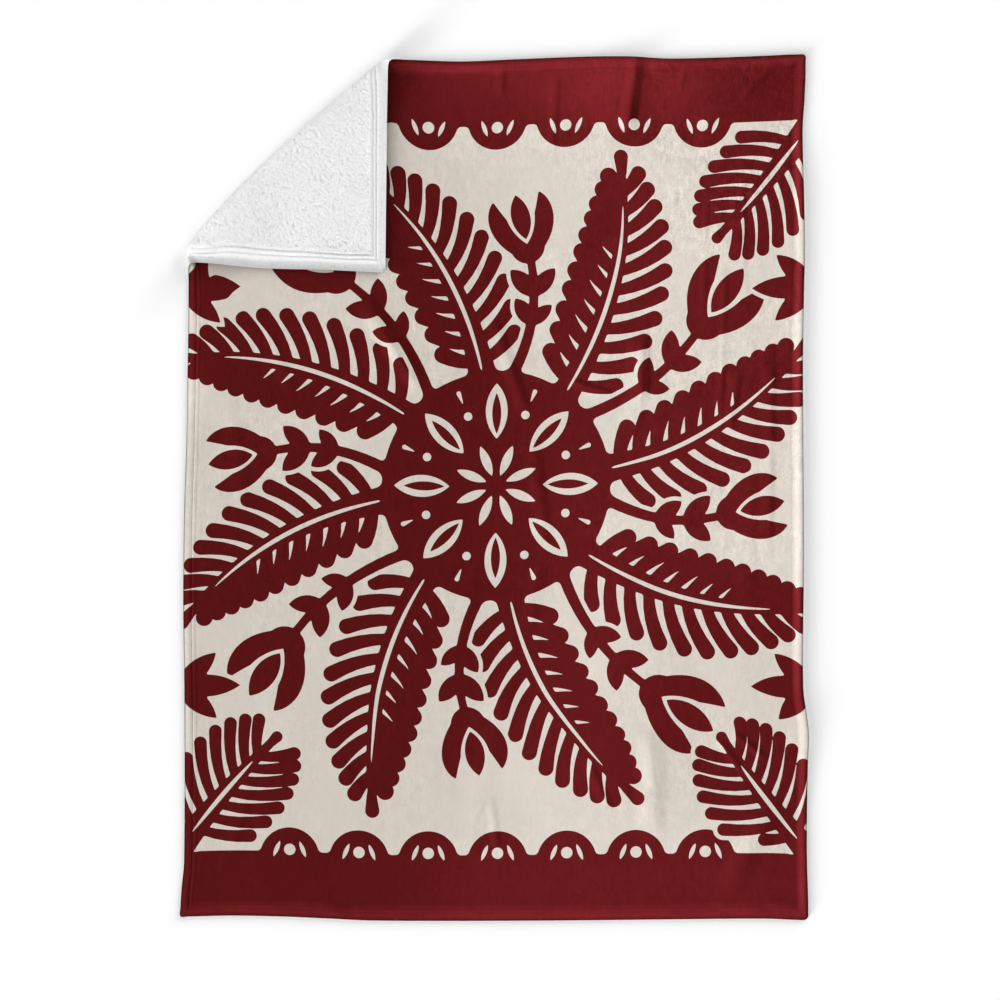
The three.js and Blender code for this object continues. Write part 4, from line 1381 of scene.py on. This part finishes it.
# ======================================================================================
# Materials
# ======================================================================================
class Nodes:
    """A small helper to lay out a material's nodes."""

    def __init__(self, name):
        self.material = bpy.data.materials.new(name)
        self.material.use_nodes = True
        self.tree = self.material.node_tree
        self.shader = self.tree.nodes["Principled BSDF"]

    def add(self, kind, **values):
        node = self.tree.nodes.new(kind)
        for key, value in values.items():
            setattr(node, key, value)
        return node

    def link(self, out, to):
        if isinstance(out, (int, float)):
            to.default_value = out
        elif isinstance(out, tuple):
            to.default_value = out
        else:
            self.tree.links.new(out, to)

    def math(self, operation, a, b=0.0, clamp=False):
        node = self.add("ShaderNodeMath", operation=operation, use_clamp=clamp)
        self.link(a, node.inputs[0])
        self.link(b, node.inputs[1])
        return node.outputs[0]

    def place(self, scale):
        if not hasattr(self, "where"):
            self.where = self.add("ShaderNodeTexCoord").outputs["Object"]
        node = self.add("ShaderNodeMapping")
        self.link(self.where, node.inputs["Vector"])
        node.inputs["Scale"].default_value = scale
        return node.outputs["Vector"]

    def noise(self, scale, detail=2.0, roughness=0.5, distortion=0.0):
        node = self.add("ShaderNodeTexNoise")
        self.link(self.place(scale), node.inputs["Vector"])
        node.inputs["Scale"].default_value = 1.0
        node.inputs["Detail"].default_value = detail
        node.inputs["Roughness"].default_value = roughness
        node.inputs["Distortion"].default_value = distortion
        return node.outputs["Fac"]

    def curls(self, scale, smoothness=0.6):
        node = self.add("ShaderNodeTexVoronoi", feature="SMOOTH_F1")
        self.link(self.place(scale), node.inputs["Vector"])
        node.inputs["Scale"].default_value = 1.0
        node.inputs["Smoothness"].default_value = smoothness
        return node.outputs["Distance"]

    def ranged(self, value, low, high, to_low, to_high):
        node = self.add("ShaderNodeMapRange")
        self.link(value, node.inputs["Value"])
        for key, number in (("From Min", low), ("From Max", high), ("To Min", to_low), ("To Max", to_high)):
            node.inputs[key].default_value = number
        return node.outputs["Result"]

    def mix(self, factor, a, b, blend="MIX"):
        node = self.add("ShaderNodeMix", data_type="RGBA", blend_type=blend)
        self.link(factor, node.inputs[0])
        self.link(a, node.inputs[6])
        self.link(b, node.inputs[7])
        return node.outputs[2]

    def read(self, name):
        return self.add("ShaderNodeAttribute", attribute_name=name).outputs["Fac"]

    def bump(self, height, strength, distance, before=None):
        node = self.add("ShaderNodeBump")
        self.link(height, node.inputs["Height"])
        node.inputs["Strength"].default_value = strength
        node.inputs["Distance"].default_value = distance
        if before is not None:
            self.link(before, node.inputs["Normal"])
        return node.outputs["Normal"]

    def finish(self, colour, roughness, normal=None, **fixed):
        self.link(colour, self.shader.inputs["Base Color"])
        self.link(roughness, self.shader.inputs["Roughness"])
        if normal is not None:
            self.link(normal, self.shader.inputs["Normal"])
        for key, value in fixed.items():
            self.shader.inputs[key.replace("_", " ")].default_value = value
        return self.material


def grey(value):
    return (value, value, value, 1.0)


def linear(r, g, b):
    def one(c):
        c /= 255
        return c / 12.92 if c <= 0.04045 else ((c + 0.055) / 1.055) ** 2.4

    return (one(r), one(g), one(b), 1.0)


RED = (0.104, 0.0047, 0.0057, 1.0)
CREAM = linear(214, 205, 194)


def fleece(name):
    m = Nodes(name)
    base = m.mix(m.read("print"), CREAM, RED)
    streak = m.noise((150.0, 46.0, 110.0), 5.0, 0.68, 0.5)
    blotch = m.noise((62.0, 44.0, 56.0), 5.0, 0.72, 0.4)
    cloud = m.noise((11.0, 7.0, 9.0), 4.0, 0.55)
    speck = m.noise((420.0, 300.0, 400.0), 2.0, 0.6)
    wide = m.noise((2.6, 1.7, 2.0), 2.0, 0.5)
    # ruffled patches, where the nap's streaks, blotches and specks show more
    tone = m.math("ADD", m.ranged(streak, 0.25, 0.75, -0.30, 0.34), m.ranged(speck, 0.25, 0.75, -0.24, 0.26))
    tone = m.math("ADD", tone, m.ranged(blotch, 0.25, 0.75, -0.31, 0.34))
    tone = m.math("MULTIPLY", tone, m.read("ruffle"))
    tone = m.math("ADD", tone, m.ranged(cloud, 0.3, 0.7, -0.035, 0.035))
    tone = m.math("ADD", tone, m.ranged(wide, 0.3, 0.7, -0.03, 0.03))
    # the nap shows more on the dark print than on the pale ground
    tone = m.math("MULTIPLY", tone, m.ranged(m.read("print"), 0.0, 1.0, 0.62, 1.0))
    # painted highlights along the hems, painted shade in the stitch rows and painted light and shade on the creases'
    # slopes, less on the pale ground
    painted_light = m.math("MULTIPLY", m.read("nap"), m.ranged(m.read("print"), 0.0, 1.0, 0.18, 1.0))
    tone = m.math("ADD", m.math("ADD", tone, painted_light), 1.0)
    # painted shade, dark right at the rim and in the crook beside and under the turned corner;
    # lighter towards the right, partly painted light and partly the nap standing up, with a painted highlight on the
    # right hem
    sweep_and_painted_light = m.math("MULTIPLY", m.read("sweep_and_painted_light"), m.ranged(m.read("print"), 0.0, 1.0, 0.48, 1.0))
    tone = m.math("MULTIPLY", tone, m.math("ADD", sweep_and_painted_light, 1.0))
    tone = m.math("MAXIMUM", m.math("MULTIPLY", tone, m.math("SUBTRACT", 1.0, m.read("painted_shade"))), 0.1)
    colour = m.mix(1.0, base, grey(1.0), "MULTIPLY")
    # painted sheen: where the dark print is painted lighter, it also pales towards white
    extra = m.math("MULTIPLY", m.math("SUBTRACT", tone, 1.0), m.read("print"))
    extra = m.math("MAXIMUM", extra, m.math("MULTIPLY", extra, 0.4))
    gain = m.add("ShaderNodeCombineColor")
    m.link(tone, gain.inputs["Red"])
    for key, share in (("Green", 1.05), ("Blue", 1.25)):
        pale = m.math("ADD", tone, m.math("MULTIPLY", extra, share))
        m.link(m.math("MAXIMUM", pale, 0.05), gain.inputs[key])
    m.link(gain.outputs["Color"], colour.node.inputs[7])
    height = m.math("ADD", m.math("MULTIPLY", streak, 0.7), m.math("MULTIPLY", speck, 0.6))
    nap = m.noise((1500.0, 900.0, 1300.0), 2.0, 0.6)
    height = m.math("ADD", height, m.math("MULTIPLY", nap, 0.35))
    normal = m.bump(height, 0.55, 0.0006)
    rough = m.ranged(speck, 0.2, 0.8, 0.78, 0.95)
    return m.finish(colour, rough, normal, Specular_IOR_Level=0.05, Sheen_Weight=0.02,
                    Sheen_Roughness=0.55, Sheen_Tint=(1.0, 0.86, 0.84, 1.0))


def plush(name):
    m = Nodes(name)
    curl = m.curls((430.0, 430.0, 430.0), 0.7)
    fine = m.noise((700.0, 700.0, 700.0), 3.0, 0.6)
    cloud = m.noise((16.0, 16.0, 16.0), 4.0, 0.6)
    patch = m.noise((13.0, 13.0, 13.0), 3.0, 0.6)
    # painted shade between the curls: darker in the pile's low places and away from the curls' middles
    painted_valley_shade = m.ranged(m.read("pile"), -0.5, 0.7, 0.0, 1.0)
    tone = m.math("ADD", m.ranged(painted_valley_shade, 0.0, 1.0, -0.10, 0.07), m.ranged(curl, 0.1, 0.75, 0.07, -0.08))
    tone = m.math("ADD", tone, m.ranged(fine, 0.3, 0.7, -0.05, 0.05))
    # open patches, where the painted shade in the gaps between the curls shows stronger
    tone = m.math("MULTIPLY", tone, m.ranged(m.math("MULTIPLY", patch, m.read("open")), 0.40, 0.64, 0.5, 1.7))
    tone = m.math("ADD", tone, m.ranged(cloud, 0.3, 0.7, -0.012, 0.012))
    # painted shade, darker where the pile is pressed flat in the hem
    pressed = m.ranged(m.read("open"), 0.0, 1.0, 0.80, 0.925)
    # scaled by the painted light and shade of the turned corner's hem
    level = m.math("MINIMUM", m.math("MULTIPLY", m.math("ADD", tone, pressed), m.read("painted_light")), 0.99)
    gain = m.add("ShaderNodeCombineColor")
    m.link(level, gain.inputs["Red"])
    m.link(level, gain.inputs["Green"])
    m.link(m.math("MULTIPLY", level, 0.998), gain.inputs["Blue"])
    height = m.math("ADD", m.math("MULTIPLY", curl, -0.9), m.math("MULTIPLY", fine, 0.5))
    normal = m.bump(height, 0.7, 0.0009)
    rough = m.ranged(fine, 0.2, 0.8, 0.85, 1.0)
    return m.finish(gain.outputs["Color"], rough, normal, Specular_IOR_Level=0.15, Sheen_Weight=0.25,
                    Sheen_Roughness=0.6, Sheen_Tint=(1.0, 1.0, 1.0, 1.0))


def pile_curl(name):
    m = Nodes(name)
    fine = m.noise((900.0, 900.0, 900.0), 3.0, 0.6)
    patch = m.noise((13.0, 13.0, 13.0), 3.0, 0.6)
    tone = m.math("ADD", m.ranged(m.read("tone"), 0.0, 1.0, -0.11, 0.08), m.ranged(fine, 0.3, 0.7, -0.05, 0.04))
    tone = m.math("MULTIPLY", tone, m.ranged(patch, 0.40, 0.64, 0.5, 1.7))
    # scaled by the painted light and shade of the turned corner's hem
    level = m.math("MINIMUM", m.math("MULTIPLY", m.math("ADD", tone, 0.955), m.read("painted_light")), 0.99)
    gain = m.add("ShaderNodeCombineColor")
    for key in ("Red", "Green", "Blue"):
        m.link(level, gain.inputs[key])
    return m.finish(gain.outputs["Color"], 0.92, m.bump(fine, 0.5, 0.0004), Specular_IOR_Level=0.15,
                    Sheen_Weight=0.2, Sheen_Roughness=0.6, Sheen_Tint=(1.0, 1.0, 1.0, 1.0))


def white_thread(name):
    m = Nodes(name)
    twist = m.noise((1400.0, 1400.0, 1400.0), 2.0, 0.5)
    level = m.ranged(twist, 0.25, 0.75, 0.72, 0.86)
    gain = m.add("ShaderNodeCombineColor")
    for key in ("Red", "Green", "Blue"):
        m.link(level, gain.inputs[key])
    return m.finish(gain.outputs["Color"], 0.7, m.bump(twist, 0.5, 0.0003), Specular_IOR_Level=0.25)


front.data.materials.append(fleece("printed_fleece"))
back.data.materials.append(plush("white_sherpa"))
pile_look = pile_curl("white_pile")
for piece in curls:
    piece.data.materials.append(pile_look)
front_thread.data.materials.append(fleece("front_thread"))
back_thread.data.materials.append(white_thread("back_thread"))

# ======================================================================================
# Frame: what stands for what
# ======================================================================================
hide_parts("front_panel")
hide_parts("back_panel")
for piece in (front, back, front_thread, back_thread, *curls):
    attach(piece, "root")

# ======================================================================================
# Floor, light and camera
# ======================================================================================
scene = bpy.context.scene
floor_mesh = bpy.data.meshes.new("floor")
floor_mesh.from_pydata([(-9, -9, 0), (9, -9, 0), (9, 9, 0), (-9, 9, 0)], [], [(0, 1, 2, 3)])
floor = bpy.data.objects.new("floor", floor_mesh)
floor.location.z = -0.0004
scene.collection.objects.link(floor)
m = Nodes("floor")
floor.data.materials.append(m.finish(grey(1.0), 0.9, Specular_IOR_Level=0.1))

world = bpy.data.worlds.new("studio")
world.use_nodes = True
world.node_tree.nodes["Background"].inputs["Color"].default_value = (1.0, 1.0, 1.0, 1.0)
world.node_tree.nodes["Background"].inputs["Strength"].default_value = 0.25
scene.world = world


def soft_light(name, azimuth, elevation, share, angle):
    """A broad far light that gives the floor this share of its light."""
    a, e = azimuth * RAD, elevation * RAD
    towards = Vector((math.cos(e) * math.cos(a), math.cos(e) * math.sin(a), math.sin(e)))
    light = bpy.data.lights.new(name, "SUN")
    light.energy = share * math.pi / math.sin(e)
    light.angle = angle
    made = bpy.data.objects.new(name, light)
    made.location = towards * 4.0
    made.rotation_mode = "QUATERNION"
    made.rotation_quaternion = (-towards).to_track_quat("-Z", "Y")
    scene.collection.objects.link(made)
    return made


# low softboxes round the blanket, the strongest at the lower left
soft_light("key", 225, 20, 0.170, 0.5)
soft_light("key_low", 225, 10, 0.140, 0.2)
soft_light("fill", 45, 20, 0.180, 0.5)
soft_light("fill_low", 45, 10, 0.030, 0.2)
soft_light("left", 180, 20, 0.035, 0.5)
soft_light("right", 0, 32, 0.050, 0.5)
soft_light("below", 270, 32, 0.060, 0.5)
soft_light("top", 90, 26, 0.065, 0.5)
soft_light("low", 315, 52, 0.025, 0.6)

lens, field = 95.0, 2.09
camera_data = bpy.data.cameras.new("camera")
camera_data.sensor_width = 36.0
camera_data.lens = lens
camera = bpy.data.objects.new("camera", camera_data)
camera.location = (0.0116, -0.0258, field * lens / 36.0 + 0.006)
camera_data.clip_end = 60.0
scene.collection.objects.link(camera)
scene.camera = camera
scene.view_settings.view_transform = "Standard"
scene.view_settings.look = "None"

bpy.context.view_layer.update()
print("scene made in", round(time.perf_counter() - BEGAN, 1), "s")
